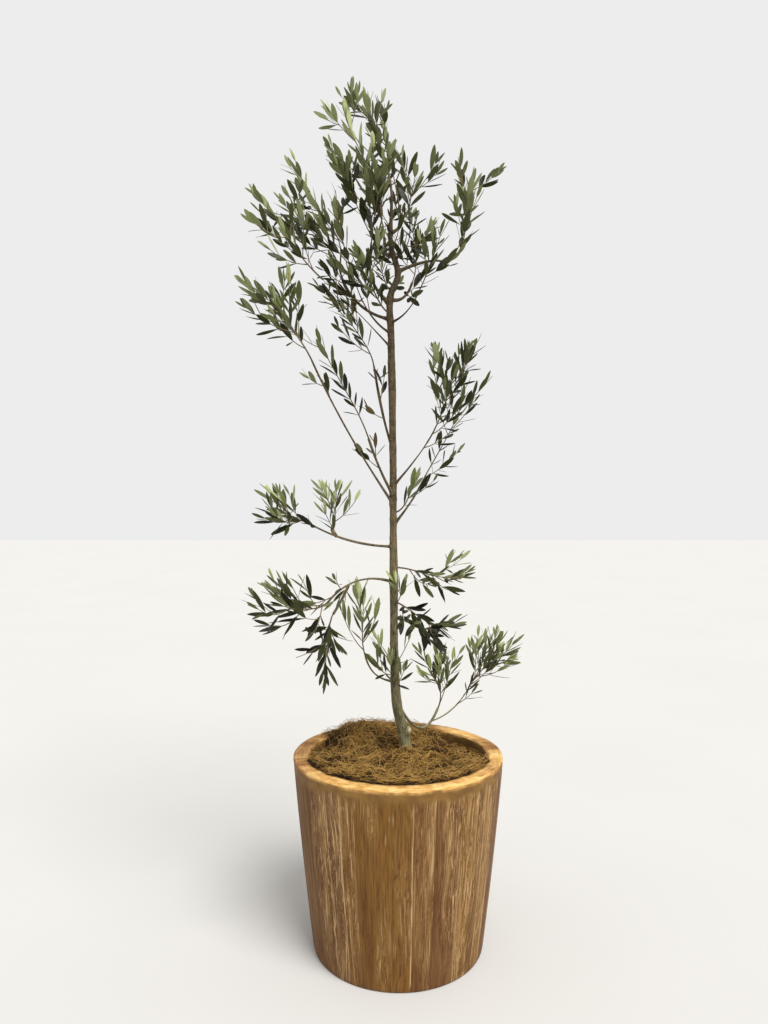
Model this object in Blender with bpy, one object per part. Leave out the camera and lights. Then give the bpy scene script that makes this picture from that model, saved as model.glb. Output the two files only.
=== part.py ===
"""Potted olive tree: a young olive with one slim leaning trunk, in a round wooden planter.

Metres, +Z up. The origin is the centre of the planter's underside, and the front of the
tree looks towards -Y. Limbs and foliage are worked out from the sizes below: a limb is a
curve from its parent to its tip, and a mass of foliage is a stem that goes on from a limb's
tip, with side shoots set round it by the golden angle and leaves in opposite pairs.
"""

import math
import random

import bmesh
import bpy
import numpy as np
from mathutils import Vector
from mathutils.bvhtree import BVHTree

# Clearance between neighbours that touch on the real plant, and at the corners of a limb's
# foot: the flat faces between two corners lie closer to the round limb they stand on
GAP = 0.0003
FOOT_GAP = 0.0006

# Planter: a turned tub with slightly bowed walls
PLANTER_HEIGHT = 0.362
RIM_RADIUS = 0.200
FOOT_RADIUS = 0.161
BOW = 0.18
WALL = 0.030
FLOOR = 0.030
FOOT_ROUND = 0.004
RIM_ROUND = 0.007
PLANTER_SIDES = 36
PLANTER_RINGS = 2
ROUND_STEPS = 2

# Soil and the mat of coconut fibre on it
SOIL_TOP = 0.322
MULCH_EDGE = 0.340
MULCH_CROWN = 0.009
MULCH_LUMP = 0.004
MULCH_HOLLOW = 0.023
MULCH_RINGS = 3
MULCH_WAVES = (5, 9, 3, -7)
MULCH_PEAK = 0.25

# Trunk: places that its axis runs through (x, y, z), then its radius at the soil, up the
# stem and at the tip, with the root flare
TRUNK_SIDES = 10
TRUNK_STEP = 0.056
TRUNK_PLACES = [
    (0.021, 0.047, SOIL_TOP + GAP),
    (0.012, 0.040, 0.385),
    (-0.003, 0.030, 0.455),
    (-0.007, 0.020, 0.573),
    (-0.008, 0.015, 0.710),
    (-0.010, 0.010, 0.943),
    (-0.013, 0.010, 1.147),
    (-0.016, 0.010, 1.235),
    (0.000, 0.018, 1.287),
    (-0.014, 0.028, 1.350),
    (-0.012, 0.028, 1.432),
]
TRUNK_FOOT_RADIUS = 0.0130
TRUNK_RADIUS = 0.0066
TRUNK_FORK_HEIGHT = 1.235
TRUNK_TIP_RADIUS = 0.0030
FLARE_RADIUS = 0.0055
FLARE_HEIGHT = 0.016
TAPER_HEIGHT = 0.16

# Boughs: the collar at a foot, how many steps it fades over, and how much of its parent's
# radius a foot may have
BOUGH_SIDES = 6
BOUGH_STEP = 0.030
COLLAR = 0.35
COLLAR_STEPS = 0.6
FOOT_SHARE = 0.72
FOOT_SLIDE = 0.05
SLIDE_HALVINGS = 30

# Each bough: parent, foot (height on the trunk, or share of a bough's length), tip,
# bend (how far the middle is drawn aside), radius at foot and tip
BOUGHS = {
    "top_left": ("trunk", 1.228, (-0.037, -0.020, 1.356), (-0.026, -0.008, -0.012), 0.0034, 0.0018),
    "top_right": ("trunk", 1.372, (0.003, 0.062, 1.440), (0.010, 0.004, -0.010), 0.0022, 0.0015),
    "right_shoulder": ("trunk", 1.318, (0.020, -0.036, 1.376), (0.012, -0.006, -0.010), 0.0023, 0.0015),
    "crown_front": ("top_left", 0.50, (-0.050, -0.080, 1.312), (-0.002, -0.010, -0.012), 0.0019, 0.0014),
    "crown_back": ("trunk", 1.332, (-0.026, 0.092, 1.385), (-0.004, 0.012, -0.014), 0.0023, 0.0015),
    "crown_left": ("trunk", 1.170, (-0.084, -0.046, 1.262), (-0.006, -0.006, -0.016), 0.0022, 0.0015),
    "back_right": ("trunk", 1.236, (0.030, 0.076, 1.288), (0.004, 0.006, -0.012), 0.0021, 0.0014),
    "right_high": ("trunk", 1.292, (0.088, 0.046, 1.322), (0.006, 0.006, 0.010), 0.0024, 0.0016),
    "right_under": ("trunk", 1.190, (0.038, -0.046, 1.234), (0.004, -0.006, -0.010), 0.0020, 0.0014),
    "left_high": ("trunk", 1.197, (-0.118, 0.034, 1.312), (-0.014, 0.006, -0.018), 0.0026, 0.0017),
    "left_tall": ("left_high", 0.60, (-0.114, 0.066, 1.342), (-0.008, 0.006, -0.008), 0.0017, 0.0014),
    "left_upper": ("trunk", 1.141, (-0.140, -0.068, 1.250), (-0.005, -0.012, 0.006), 0.0025, 0.0017),
    "left_middle": ("trunk", 0.838, (-0.158, -0.080, 1.098), (-0.010, -0.006, 0.004), 0.0024, 0.0017),
    "left_inner": ("trunk", 0.856, (-0.056, -0.026, 0.962), (-0.002, -0.004, -0.004), 0.0020, 0.0015),
    "inner_left": ("trunk", 0.942, (-0.047, 0.026, 1.110), (-0.002, 0.004, -0.006), 0.0021, 0.0015),
    "right_middle": ("trunk", 0.873, (0.055, -0.026, 0.955), (0.006, -0.006, 0.004), 0.0024, 0.0017),
    "right_behind": ("trunk", 0.798, (0.045, 0.044, 0.876), (0.004, 0.004, 0.000), 0.0022, 0.0015),
    "left_low": ("trunk", 0.756, (-0.166, -0.048, 0.802), (-0.004, -0.010, -0.010), 0.0022, 0.0016),
    "left_sprig": ("left_low", 0.68, (-0.122, -0.024, 0.800), (-0.006, 0.002, 0.000), 0.0015, 0.0013),
    "left_lower": ("trunk", 0.686, (-0.126, -0.118, 0.664), (-0.006, -0.012, 0.022), 0.0024, 0.0017),
    "left_under": ("left_lower", 0.70, (-0.118, -0.096, 0.640), (0.003, 0.006, 0.002), 0.0016, 0.0014),
    "inner_low": ("trunk", 0.491, (-0.062, -0.028, 0.550), (-0.008, -0.006, -0.010), 0.0019, 0.0014),
    "right_base": ("trunk", 0.453, (0.085, 0.110, 0.416), (0.004, 0.008, -0.050), 0.0022, 0.0017),
    "right_outer": ("right_base", 0.82, (0.152, 0.138, 0.452), (0.004, 0.004, -0.012), 0.0016, 0.0014),
}

# Masses of foliage: the limb that the stem goes on from, the height where it leaves the
# trunk's side (None: it goes on from the limb's tip), tip of the stem, how far the mass
# spreads from it, side shoots, lift of the shoots
MASSES = {
    "top_middle": ("trunk", None, (-0.062, 0.012, 1.628), 0.056, 6, 0.6),
    "top_left": ("top_left", None, (-0.112, -0.028, 1.606), 0.066, 7, 0.6),
    "top_right": ("top_right", None, (-0.028, 0.086, 1.612), 0.056, 6, 0.6),
    "right_shoulder": ("right_shoulder", None, (0.030, -0.068, 1.440), 0.062, 5, 0.6),
    "crown_front": ("crown_front", None, (-0.056, -0.128, 1.396), 0.070, 6, 0.5),
    "crown_back": ("crown_back", None, (-0.066, 0.146, 1.550), 0.074, 6, 0.5),
    "crown_left": ("crown_left", None, (-0.116, -0.078, 1.372), 0.062, 5, 0.5),
    "crown_inner": ("trunk", 1.208, (-0.070, -0.086, 1.288), 0.060, 5, 0.5),
    "back_right": ("back_right", None, (0.042, 0.134, 1.405), 0.068, 5, 0.5),
    "back_low": ("trunk", 1.258, (-0.036, 0.126, 1.346), 0.066, 4, 0.4),
    "right_high": ("right_high", None, (0.150, 0.056, 1.490), 0.062, 6, 0.6),
    "right_under": ("right_under", None, (0.062, -0.080, 1.290), 0.052, 4, 0.4),
    "left_high": ("left_high", None, (-0.224, 0.026, 1.430), 0.060, 6, 0.6),
    "left_tall": ("left_tall", None, (-0.196, 0.068, 1.494), 0.046, 4, 0.6),
    "left_upper": ("left_upper", None, (-0.208, -0.094, 1.330), 0.058, 5, 0.6),
    "left_middle": ("left_middle", None, (-0.224, -0.102, 1.204), 0.066, 6, 0.5),
    "left_inner": ("left_inner", None, (-0.148, -0.058, 1.146), 0.046, 6, 0.4),
    "inner_left": ("inner_left", None, (-0.108, 0.022, 1.222), 0.058, 6, 0.5),
    "right_middle": ("right_middle", None, (0.106, -0.046, 1.090), 0.070, 7, 0.7),
    "right_behind": ("right_behind", None, (0.132, 0.100, 1.040), 0.064, 6, 0.4),
    "right_sprig": ("trunk", 0.822, (0.034, -0.014, 0.884), 0.046, 3, 0.4),
    "left_low": ("left_low", None, (-0.210, -0.068, 0.814), 0.066, 5, 0.4),
    "left_sprig": ("left_sprig", None, (-0.122, -0.022, 0.838), 0.052, 3, 0.4),
    "left_lower": ("left_lower", None, (-0.204, -0.142, 0.660), 0.066, 6, 0.3),
    "left_under": ("left_under", None, (-0.132, -0.090, 0.594), 0.062, 5, -0.2),
    "inner_low": ("inner_low", None, (-0.066, -0.034, 0.652), 0.046, 3, 0.6),
    "foot_shoot": ("trunk", 0.480, (-0.016, -0.020, 0.548), 0.050, 3, 0.4),
    "right_low": ("trunk", 0.715, (0.112, 0.074, 0.692), 0.064, 6, 0.3),
    "right_lower": ("trunk", 0.648, (0.070, -0.106, 0.622), 0.068, 6, 0.1),
    "right_base": ("right_base", None, (0.086, 0.122, 0.498), 0.060, 5, 0.3),
    "right_outer": ("right_outer", None, (0.206, 0.152, 0.520), 0.066, 6, 0.4),
}

# The rule by which a mass grows
STEM_PARTS = 4
SHOOT_PARTS = 2
TWIG_SIDES = 3
STEM_RISE = 0.3
STEM_BARE = 0.30
STEM_SHARE = 0.95
SHOOT_RADIUS = 0.0014
TRUNK_SHOOT_RADIUS = 0.0018
TWIG_TIP_RADIUS = 0.0010
SHOOT_FROM = 0.08
SHOOT_TO = 0.90
SHOOT_SPOT = (0.3, 0.7)
SHOOT_LEAN = math.radians(52)
SHOOT_LEAN_RANGE = (0.8, 1.15)
SHOOT_REACH = 0.72
SHOOT_REACH_RANGE = (0.85, 1.1)
SHOOT_ARCH = 0.5
SHOOT_BARE = 0.30
GOLDEN_ANGLE = math.radians(137.5)
LEAF_LENGTH = 0.058
LEAF_LENGTH_RANGE = (0.85, 1.08)
LEAF_WIDTH = 0.0155
LEAF_THICK = 0.0013
LEAF_RIB = 0.16
LEAF_ROOT = 0.0006
LEAF_LEAN = math.radians(36)
LEAF_LEAN_RANGE = (0.8, 1.25)
LEAF_TURN = 0.3
LEAF_WIDEST = 0.45
LEAF_FREE = 0.15
LEAF_MARK = 1000
PAIR_STEP = 0.031
PAIR_TURN = 0.2
LAST_PAIR = 0.88
END_LEAF = 0.97
END_LEAF_LEAN = 0.12
END_LEAF_SHARE = 0.92
PAST_TIP = 0.055
CLEAR = 0.0010

# Colours (linear red, green, blue) and roughness
COLOURS = {
    "limed_wood": ((0.27, 0.19, 0.12), 0.75),
    "potting_soil": ((0.03, 0.02, 0.014), 0.95),
    "coconut_fibre": ((0.26, 0.16, 0.075), 0.9),
    "olive_bark": ((0.20, 0.18, 0.13), 0.85),
    "olive_leaf": ((0.15, 0.20, 0.07), 0.5),
}


def clear_scene():
    """Take out whatever the scene holds."""
    for old in list(bpy.data.objects):
        bpy.data.objects.remove(old, do_unlink=True)


def material(name):
    """The Principled material of this name, made once."""
    found = bpy.data.materials.get(name)
    if found:
        return found
    colour, roughness = COLOURS[name]
    made = bpy.data.materials.new(name)
    made.use_nodes = True
    shader = made.node_tree.nodes["Principled BSDF"]
    shader.inputs["Base Color"].default_value = (*colour, 1.0)
    shader.inputs["Roughness"].default_value = roughness
    shader.inputs["Metallic"].default_value = 0.0
    return made


def new_object(name, points, faces, finish, parent=None):
    """A mesh object from its points and faces, with its normals turned outwards."""
    mesh = bpy.data.meshes.new(name)
    mesh.from_pydata([tuple(point) for point in points], [], faces)
    work = bmesh.new()
    work.from_mesh(mesh)
    bmesh.ops.recalc_face_normals(work, faces=work.faces)
    work.to_mesh(mesh)
    work.free()
    mesh.materials.append(material(finish))
    made = bpy.data.objects.new(name, mesh)
    bpy.context.scene.collection.objects.link(made)
    made.parent = parent
    return made


def shade_round(made, angle=math.radians(40)):
    """Shade the curved faces smooth and keep the sharp edges."""
    made.data.shade_smooth()
    made.data.set_sharp_from_angle(angle=angle)


# Planter, soil and fibre mat

def wall_radius(height):
    """Outer radius of the planter's bowed wall at this height."""
    share = height / PLANTER_HEIGHT
    return FOOT_RADIUS + (RIM_RADIUS - FOOT_RADIUS) * ((1 + BOW) * share - BOW * share * share)


def arc(centre, radius, start, end, steps):
    """Points of an arc in the (radius, height) plane, from one angle to another."""
    angles = [math.radians(start + (end - start) * k / steps) for k in range(steps + 1)]
    return [(centre[0] + radius * math.cos(a), centre[1] + radius * math.sin(a)) for a in angles]


def turned(name, profile, finish, parent):
    """A solid of revolution: the profile's first and last points lie on the axis."""
    points = [Vector((0, 0, profile[0][1]))]
    for radius, height in profile[1:-1]:
        for k in range(PLANTER_SIDES):
            angle = math.tau * k / PLANTER_SIDES
            points.append(Vector((radius * math.cos(angle), radius * math.sin(angle), height)))
    points.append(Vector((0, 0, profile[-1][1])))
    last = len(points) - 1
    rings = len(profile) - 2
    faces = []
    for k in range(PLANTER_SIDES):
        after = (k + 1) % PLANTER_SIDES
        faces.append((0, 1 + after, 1 + k))
        top = 1 + (rings - 1) * PLANTER_SIDES
        faces.append((last, top + k, top + after))
        for ring in range(rings - 1):
            low = 1 + ring * PLANTER_SIDES
            high = low + PLANTER_SIDES
            faces.append((low + k, low + after, high + after, high + k))
    made = new_object(name, points, faces, finish, parent)
    shade_round(made)
    return made


def make_planter(parent):
    """The tub: flat underside, bowed wall, rounded rim and an open inside."""
    foot = arc((wall_radius(0) - FOOT_ROUND, FOOT_ROUND), FOOT_ROUND, -90, -10, ROUND_STEPS)
    low = 2 * FOOT_ROUND
    high = PLANTER_HEIGHT - 2 * RIM_ROUND
    heights = [low + (high - low) * k / PLANTER_RINGS for k in range(PLANTER_RINGS + 1)]
    outer = [(wall_radius(height), height) for height in heights]
    rim_centre = (RIM_RADIUS - RIM_ROUND, PLANTER_HEIGHT - RIM_ROUND)
    rim_out = arc(rim_centre, RIM_ROUND, 10, 90, ROUND_STEPS)
    lip_centre = (RIM_RADIUS - WALL + RIM_ROUND, PLANTER_HEIGHT - RIM_ROUND)
    rim_in = arc(lip_centre, RIM_ROUND, 90, 180, ROUND_STEPS)
    inner = [(wall_radius(height) - WALL, height) for height in reversed(heights[1:-1])]
    inner_foot = [(wall_radius(FLOOR) - WALL, FLOOR)]
    profile = [(0, 0)] + foot + outer + rim_out + rim_in + inner + inner_foot + [(0, FLOOR)]
    return turned("planter", profile, "limed_wood", parent)


def make_soil(parent):
    """The soil that fills the tub, to just under the fibre mat."""
    low = 2 * FOOT_ROUND
    high = PLANTER_HEIGHT - 2 * RIM_ROUND
    bands = [low + (high - low) * k / PLANTER_RINGS for k in range(1, PLANTER_RINGS)]
    heights = [FLOOR + GAP] + bands + [SOIL_TOP]
    side = [(wall_radius(height) - WALL - GAP, height) for height in heights]
    return turned("soil", [(0, FLOOR + GAP)] + side + [(0, SOIL_TOP)], "potting_soil", parent)


def make_mulch(parent):
    """The fibre mat: a lumpy ring from the hollow round the trunk's foot to the wall."""
    low = SOIL_TOP + GAP
    foot = Vector(TRUNK_PLACES[0])
    edge = wall_radius(low) - WALL - GAP
    around, outwards, slow_around, slow_outwards = MULCH_WAVES
    points = []
    for ring in range(MULCH_RINGS + 1):
        share = ring / MULCH_RINGS
        for k in range(PLANTER_SIDES):
            angle = math.tau * k / PLANTER_SIDES
            spoke = Vector((math.cos(angle), math.sin(angle), 0))
            inner = Vector((foot.x, foot.y, 0)) + spoke * MULCH_HOLLOW
            place = inner.lerp(spoke * edge, share)
            fast = math.sin(around * angle + outwards * share)
            slow = math.cos(slow_around * angle + slow_outwards * share)
            crown = MULCH_CROWN * math.sin(math.pi * (MULCH_PEAK + (1 - MULCH_PEAK) * share))
            points.append(Vector((place.x, place.y, MULCH_EDGE + crown + MULCH_LUMP * fast * slow)))
    top = len(points)
    for ring in (0, MULCH_RINGS):
        for k in range(PLANTER_SIDES):
            above = points[ring * PLANTER_SIDES + k]
            points.append(Vector((above.x, above.y, low)))
    faces = []
    for k in range(PLANTER_SIDES):
        after = (k + 1) % PLANTER_SIDES
        for ring in range(MULCH_RINGS):
            near = ring * PLANTER_SIDES
            far = near + PLANTER_SIDES
            faces.append((near + k, far + k, far + after, near + after))
        rim = MULCH_RINGS * PLANTER_SIDES
        below = top + PLANTER_SIDES
        faces.append((rim + k, below + k, below + after, rim + after))
        faces.append((k, after, top + after, top + k))
        faces.append((top + k, top + after, below + after, below + k))
    made = new_object("mulch", points, faces, "coconut_fibre", parent)
    shade_round(made)
    return made


# Limbs

class Limb:
    """A tapering limb: the points of its axis and its radius at each."""

    def __init__(self, points, radii, start_way=None):
        self.points = np.array(points, dtype=float)
        self.radii = np.array(radii, dtype=float)
        self.start_way = start_way

    def at(self, share):
        """Point, direction and radius at this share of the limb's length."""
        steps = np.linalg.norm(np.diff(self.points, axis=0), axis=1)
        run = np.concatenate([[0], np.cumsum(steps)])
        here = share * run[-1]
        k = min(int(np.searchsorted(run, here, side="right")) - 1, len(steps) - 1)
        part = (here - run[k]) / steps[k]
        point = self.points[k] + part * (self.points[k + 1] - self.points[k])
        way = (self.points[k + 1] - self.points[k]) / steps[k]
        radius = self.radii[k] + part * (self.radii[k + 1] - self.radii[k])
        return point, way, radius

    def at_height(self, height):
        """Share of the length at which the axis reaches this height."""
        shares = np.linspace(0, 1, 400)
        heights = np.array([self.at(share)[0][2] for share in shares])
        return float(shares[np.argmax(heights >= height)])


def unit(vector):
    """The vector at length one."""
    return np.asarray(vector, dtype=float) / np.linalg.norm(vector)


def across(way):
    """Two unit vectors square to a direction and to each other."""
    aside = np.cross(way, (0, 0, 1)) if abs(way[2]) < 0.95 else np.cross(way, (1, 0, 0))
    first = unit(aside)
    return first, np.cross(way, first)


def smooth_through(places, step):
    """A smooth curve through the places, with a point every step or so."""
    places = np.array(places)
    held = [2 * places[0] - places[1], *places, 2 * places[-1] - places[-2]]
    points = []
    for k in range(1, len(held) - 2):
        before, start, end, after = held[k - 1:k + 3]
        parts = max(1, round(float(np.linalg.norm(end - start)) / step))
        for t in np.arange(parts) / parts:
            points.append(0.5 * (2 * start + (end - before) * t
                                 + (2 * before - 5 * start + 4 * end - after) * t ** 2
                                 + (3 * start - before - 3 * end + after) * t ** 3))
    points.append(held[-2])
    return np.array(points)


def trunk_limb():
    """The trunk: flared at the soil, nearly even to the fork, then tapering to its tip."""
    points = smooth_through(TRUNK_PLACES, TRUNK_STEP)
    rise = points[:, 2] - points[0, 2]
    radii = TRUNK_RADIUS + (TRUNK_FOOT_RADIUS - TRUNK_RADIUS) * np.exp(-rise / TAPER_HEIGHT)
    radii = radii + FLARE_RADIUS * np.exp(-rise / FLARE_HEIGHT)
    above = np.clip((points[:, 2] - TRUNK_FORK_HEIGHT) / (points[-1, 2] - TRUNK_FORK_HEIGHT), 0, 1)
    return Limb(points, radii * (1 - above) + TRUNK_TIP_RADIUS * above, start_way=(0, 0, 1))


def bough_limb(limbs, parent, foot, tip, bend, foot_radius, tip_radius):
    """A bough: an arched line from its parent's axis to its tip, with a collar at the foot."""
    share = limbs[parent].at_height(foot) if parent == "trunk" else foot
    start, _, parent_radius = limbs[parent].at(share)
    parts = max(3, round(float(np.linalg.norm(np.array(tip) - start)) / BOUGH_STEP))
    t = np.linspace(0, 1, parts + 1)[:, None]
    points = start + t * (np.array(tip) - start) + 4 * t * (1 - t) * np.array(bend)
    t = t[:, 0]
    collar = COLLAR * foot_radius * np.exp(-t * parts / COLLAR_STEPS)
    radii = foot_radius + (tip_radius - foot_radius) * t + collar
    return Limb(points, np.minimum(radii, FOOT_SHARE * parent_radius))


def nearest_on(limb, point):
    """Distance from a point to a limb's surface."""
    start = limb.points[:-1]
    run = limb.points[1:] - start
    t = np.clip(((point - start) * run).sum(1) / (run * run).sum(1), 0, 1)
    away = np.linalg.norm(start + t[:, None] * run - point, axis=1)
    return float((away - (limb.radii[:-1] + t * np.diff(limb.radii))).min())


def slide_out(limb, point, way, clearance):
    """Move a point along a direction until it clears the limb's surface."""
    near = 0.0
    far = FOOT_SLIDE
    for _ in range(SLIDE_HALVINGS):
        middle = (near + far) / 2
        if nearest_on(limb, point + middle * way) < clearance:
            near = middle
        else:
            far = middle
    return point + far * way


def tube_body(limb, sides, on=None, extra=0.0):
    """Points and faces of a closed tapering tube. Its foot is shaped to the limb it stands on."""
    ways = np.gradient(limb.points, axis=0)
    if limb.start_way is not None:
        ways[0] = limb.start_way
    first, second = across(unit(ways[0]))
    points = []
    for k, (centre, radius) in enumerate(zip(limb.points, limb.radii + extra)):
        way = unit(ways[k])
        first = unit(first - way * np.dot(first, way))
        second = np.cross(way, first)
        for side in range(sides):
            angle = math.tau * side / sides
            points.append(centre + radius * (math.cos(angle) * first + math.sin(angle) * second))
    if on is not None:
        way = unit(limb.points[1] - limb.points[0])
        for side in range(sides):
            points[side] = slide_out(on, points[side], way, FOOT_GAP)
        reach = max(float(np.dot(point - limb.points[0], way)) for point in points[:sides])
        kept = 1
        while np.dot(limb.points[kept] - limb.points[0], way) < reach + limb.radii[0]:
            kept += 1
        points = points[:sides] + points[kept * sides:]
    rings = len(points) // sides
    top = (rings - 1) * sides
    faces = []
    for side in range(sides):
        after = (side + 1) % sides
        for ring in range(rings - 1):
            low = ring * sides
            faces.append((low + side, low + after, low + sides + after, low + sides + side))
    faces.append(tuple(top + side for side in range(sides)))
    if on is None or sides == TWIG_SIDES:
        faces.append(tuple(reversed(range(sides))))
    else:
        faces += [(len(points), (side + 1) % sides, side) for side in range(sides)]
        points.append(slide_out(on, limb.points[0], way, FOOT_GAP))
    return points, faces


def tube(name, limb, sides, finish, parent, on=None):
    """A limb as an object, shaded round."""
    points, faces = tube_body(limb, sides, on)
    made = new_object(name, points, faces, finish, parent)
    shade_round(made)
    return made


# Foliage

class Space:
    """Everything made so far, so that what comes next keeps clear of it."""

    def __init__(self):
        self.things = []

    def add(self, points, faces, owner, part):
        """Take up a thing: its mass or limb, and which twig of it this is or grows on."""
        places = np.array(points)
        centre = places.mean(axis=0)
        reach = float(np.linalg.norm(places - centre, axis=1).max())
        tree = BVHTree.FromPolygons([tuple(point) for point in places], faces)
        self.things.append((owner, part, tree, centre, reach))

    def touches(self, points, faces, skip):
        """Whether a thing cuts any other but those whose owner and part skip names."""
        places = np.array(points)
        centre = places.mean(axis=0)
        reach = float(np.linalg.norm(places - centre, axis=1).max())
        tree = None
        for owner, part, other, other_centre, other_reach in self.things:
            if skip(owner, part):
                continue
            if np.linalg.norm(other_centre - centre) > reach + other_reach:
                continue
            if tree is None:
                tree = BVHTree.FromPolygons([tuple(point) for point in places], faces)
            if tree.overlap(other):
                return True
        return False


def stem_limb(start, way, tip, radius):
    """A mass's stem: leaves along the limb's direction and bends towards its tip."""
    tip = np.array(tip)
    chord = float(np.linalg.norm(tip - start))
    end_way = unit(unit(tip - start) + np.array((0, 0, STEM_RISE)))
    t = np.linspace(0, 1, STEM_PARTS + 1)[:, None]
    points = ((2 * t ** 3 - 3 * t ** 2 + 1) * start + (t ** 3 - 2 * t ** 2 + t) * way * chord
              + (3 * t ** 2 - 2 * t ** 3) * tip + (t ** 3 - t ** 2) * end_way * chord)
    return Limb(points, np.linspace(radius, TWIG_TIP_RADIUS, STEM_PARTS + 1), way)


def shoot_limb(stem, share, turn, lean, length, lift):
    """A side shoot: leans out from the stem and bends up, or down where lift is negative."""
    start, way, _ = stem.at(share)
    first, second = across(way)
    out = math.cos(lean) * way + math.sin(lean) * (math.cos(turn) * first + math.sin(turn) * second)
    t = np.linspace(0, 1, SHOOT_PARTS + 1)[:, None]
    points = start + length * (t * out + lift * t ** 2 * np.array((0, 0, SHOOT_ARCH)))
    return Limb(points, np.linspace(SHOOT_RADIUS, TWIG_TIP_RADIUS, SHOOT_PARTS + 1))


def leaf_body(root, way, face, length, extra=0.0):
    """A leaf of six faces: the root, the rib's thick end, the widest place and the tip."""
    side = np.cross(face, way)
    half = LEAF_WIDTH / 2 + extra
    widest = root + LEAF_WIDEST * length * way
    points = [
        root - LEAF_ROOT * way,
        widest + half * side,
        widest - half * side,
        root + LEAF_RIB * length * way + (LEAF_THICK + extra) * face,
        root + (length + extra) * way - extra * face,
    ]
    faces = [(0, 1, 3), (0, 3, 2), (3, 1, 4), (3, 4, 2), (0, 2, 1), (1, 2, 4)]
    return points, faces


class Mass:
    """One mass of foliage, which grows inside its own space."""

    def __init__(self, number, stem, on, spread, space):
        self.number = number
        self.on = on
        self.spread = spread
        self.space = space
        past = stem.points[-1] + PAST_TIP * unit(stem.points[-1] - stem.points[-2])
        self.line = Limb(np.vstack([stem.points, past]), np.zeros(len(stem.points) + 1))
        self.twigs = []
        self.leaves = []

    def inside(self, point):
        """Whether a point lies in the mass's space, which runs on past the stem's tip."""
        return nearest_on(self.line, point) <= self.spread

    def add_twig(self, limb):
        """Take up the stem, or a shoot as far as it is clear, and give what is kept of it."""
        carrier = self.number if self.twigs else self.on
        for kept in range(len(limb.points), 1, -1):
            shorter = Limb(limb.points[:kept], limb.radii[:kept], limb.start_way)
            wide = tube_body(shorter, TWIG_SIDES, extra=CLEAR)
            if self.twigs and not self.inside(limb.points[kept - 1]):
                continue
            if not self.space.touches(*wide, lambda owner, _: owner == carrier):
                self.space.add(*tube_body(shorter, TWIG_SIDES), self.number, len(self.twigs))
                self.twigs.append(shorter)
                return shorter
        return None

    def add_leaf(self, root, way, face, length):
        """Add a leaf, unless it would leave the space or touch something."""
        if not self.inside(root + length * way):
            return
        part = len(self.twigs) - 1
        wide = leaf_body(root, way, face, length, CLEAR)
        if self.space.touches(*wide, lambda owner, _: owner == self.number):
            return
        slim = leaf_body(root + LEAF_FREE * length * way, way, face, (1 - LEAF_FREE) * length)
        if self.space.touches(*slim, lambda owner, other: owner != self.number or other == part):
            return
        self.leaves.append(leaf_body(root, way, face, length))
        self.space.add(*self.leaves[-1], self.number, LEAF_MARK + part)

    def leaf_pairs(self, limb, first, rng):
        """Opposite pairs of leaves along a twig, each a quarter turn from the last, and an end leaf."""
        run = float(np.linalg.norm(np.diff(limb.points, axis=0), axis=1).sum())
        count = int(run * (LAST_PAIR - first) / PAIR_STEP)
        turn = rng.uniform(0, math.pi)
        for k in range(count + 1):
            point, way, _ = limb.at(LAST_PAIR - (count - k) * PAIR_STEP / run)
            one, two = across(way)
            for half in range(2):
                angle = turn + half * math.pi + rng.uniform(-LEAF_TURN, LEAF_TURN)
                out = math.cos(angle) * one + math.sin(angle) * two
                lean = LEAF_LEAN * rng.uniform(*LEAF_LEAN_RANGE)
                leaf_way = unit(math.cos(lean) * way + math.sin(lean) * out)
                face = unit(way - leaf_way * np.dot(way, leaf_way))
                self.add_leaf(point, leaf_way, face, LEAF_LENGTH * rng.uniform(*LEAF_LENGTH_RANGE))
            turn += math.pi / 2 + rng.uniform(-PAIR_TURN, PAIR_TURN)
        point, way, _ = limb.at(END_LEAF)
        one, two = across(way)
        out = math.cos(turn) * one + math.sin(turn) * two
        leaf_way = unit(way + END_LEAF_LEAN * out)
        face = unit(out - leaf_way * np.dot(out, leaf_way))
        self.add_leaf(point, leaf_way, face, END_LEAF_SHARE * LEAF_LENGTH)


def joined(body, group, solver):
    """Mesh of a body united with a collection of pieces, less its loose scraps."""
    join = body.modifiers.new("join", "BOOLEAN")
    join.operation = "UNION"
    join.operand_type = "COLLECTION"
    join.collection = group
    join.solver = solver
    bpy.context.view_layer.update()
    seen = body.evaluated_get(bpy.context.evaluated_depsgraph_get())
    mesh = bpy.data.meshes.new_from_object(seen)
    body.modifiers.clear()
    work = bmesh.new()
    work.from_mesh(mesh)
    bmesh.ops.triangulate(work, faces=work.faces)
    keep_largest(work)
    closed = all(edge.is_manifold for edge in work.edges)
    work.to_mesh(mesh)
    work.free()
    return mesh, closed


def keep_largest(work):
    """Drop loose scraps and sealed hollows: only the largest shell stays."""
    left = set(work.faces)
    shells = []
    while left:
        shell = {left.pop()}
        edge = list(shell)
        while edge:
            near = {other for side in edge.pop().edges for other in side.link_faces} & left
            left -= near
            shell |= near
            edge.extend(near)
        shells.append(shell)
    largest = max(shells, key=len)
    spare = [face for shell in shells if shell is not largest for face in shell]
    bmesh.ops.delete(work, geom=spare, context="FACES")


def fuse(name, body, pieces, parent):
    """Join a stem with its shoots and leaves into one closed body."""
    group = bpy.data.collections.new(name)
    bpy.context.scene.collection.children.link(group)
    for piece in pieces:
        bpy.context.scene.collection.objects.unlink(piece)
        group.objects.link(piece)
    mesh, closed = joined(body, group, "EXACT")
    if not closed:
        mesh, closed = joined(body, group, "MANIFOLD")
    for piece in pieces:
        bpy.data.objects.remove(piece, do_unlink=True)
    bpy.data.collections.remove(group)
    body.data = mesh
    body.name = name
    body.parent = parent


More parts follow.
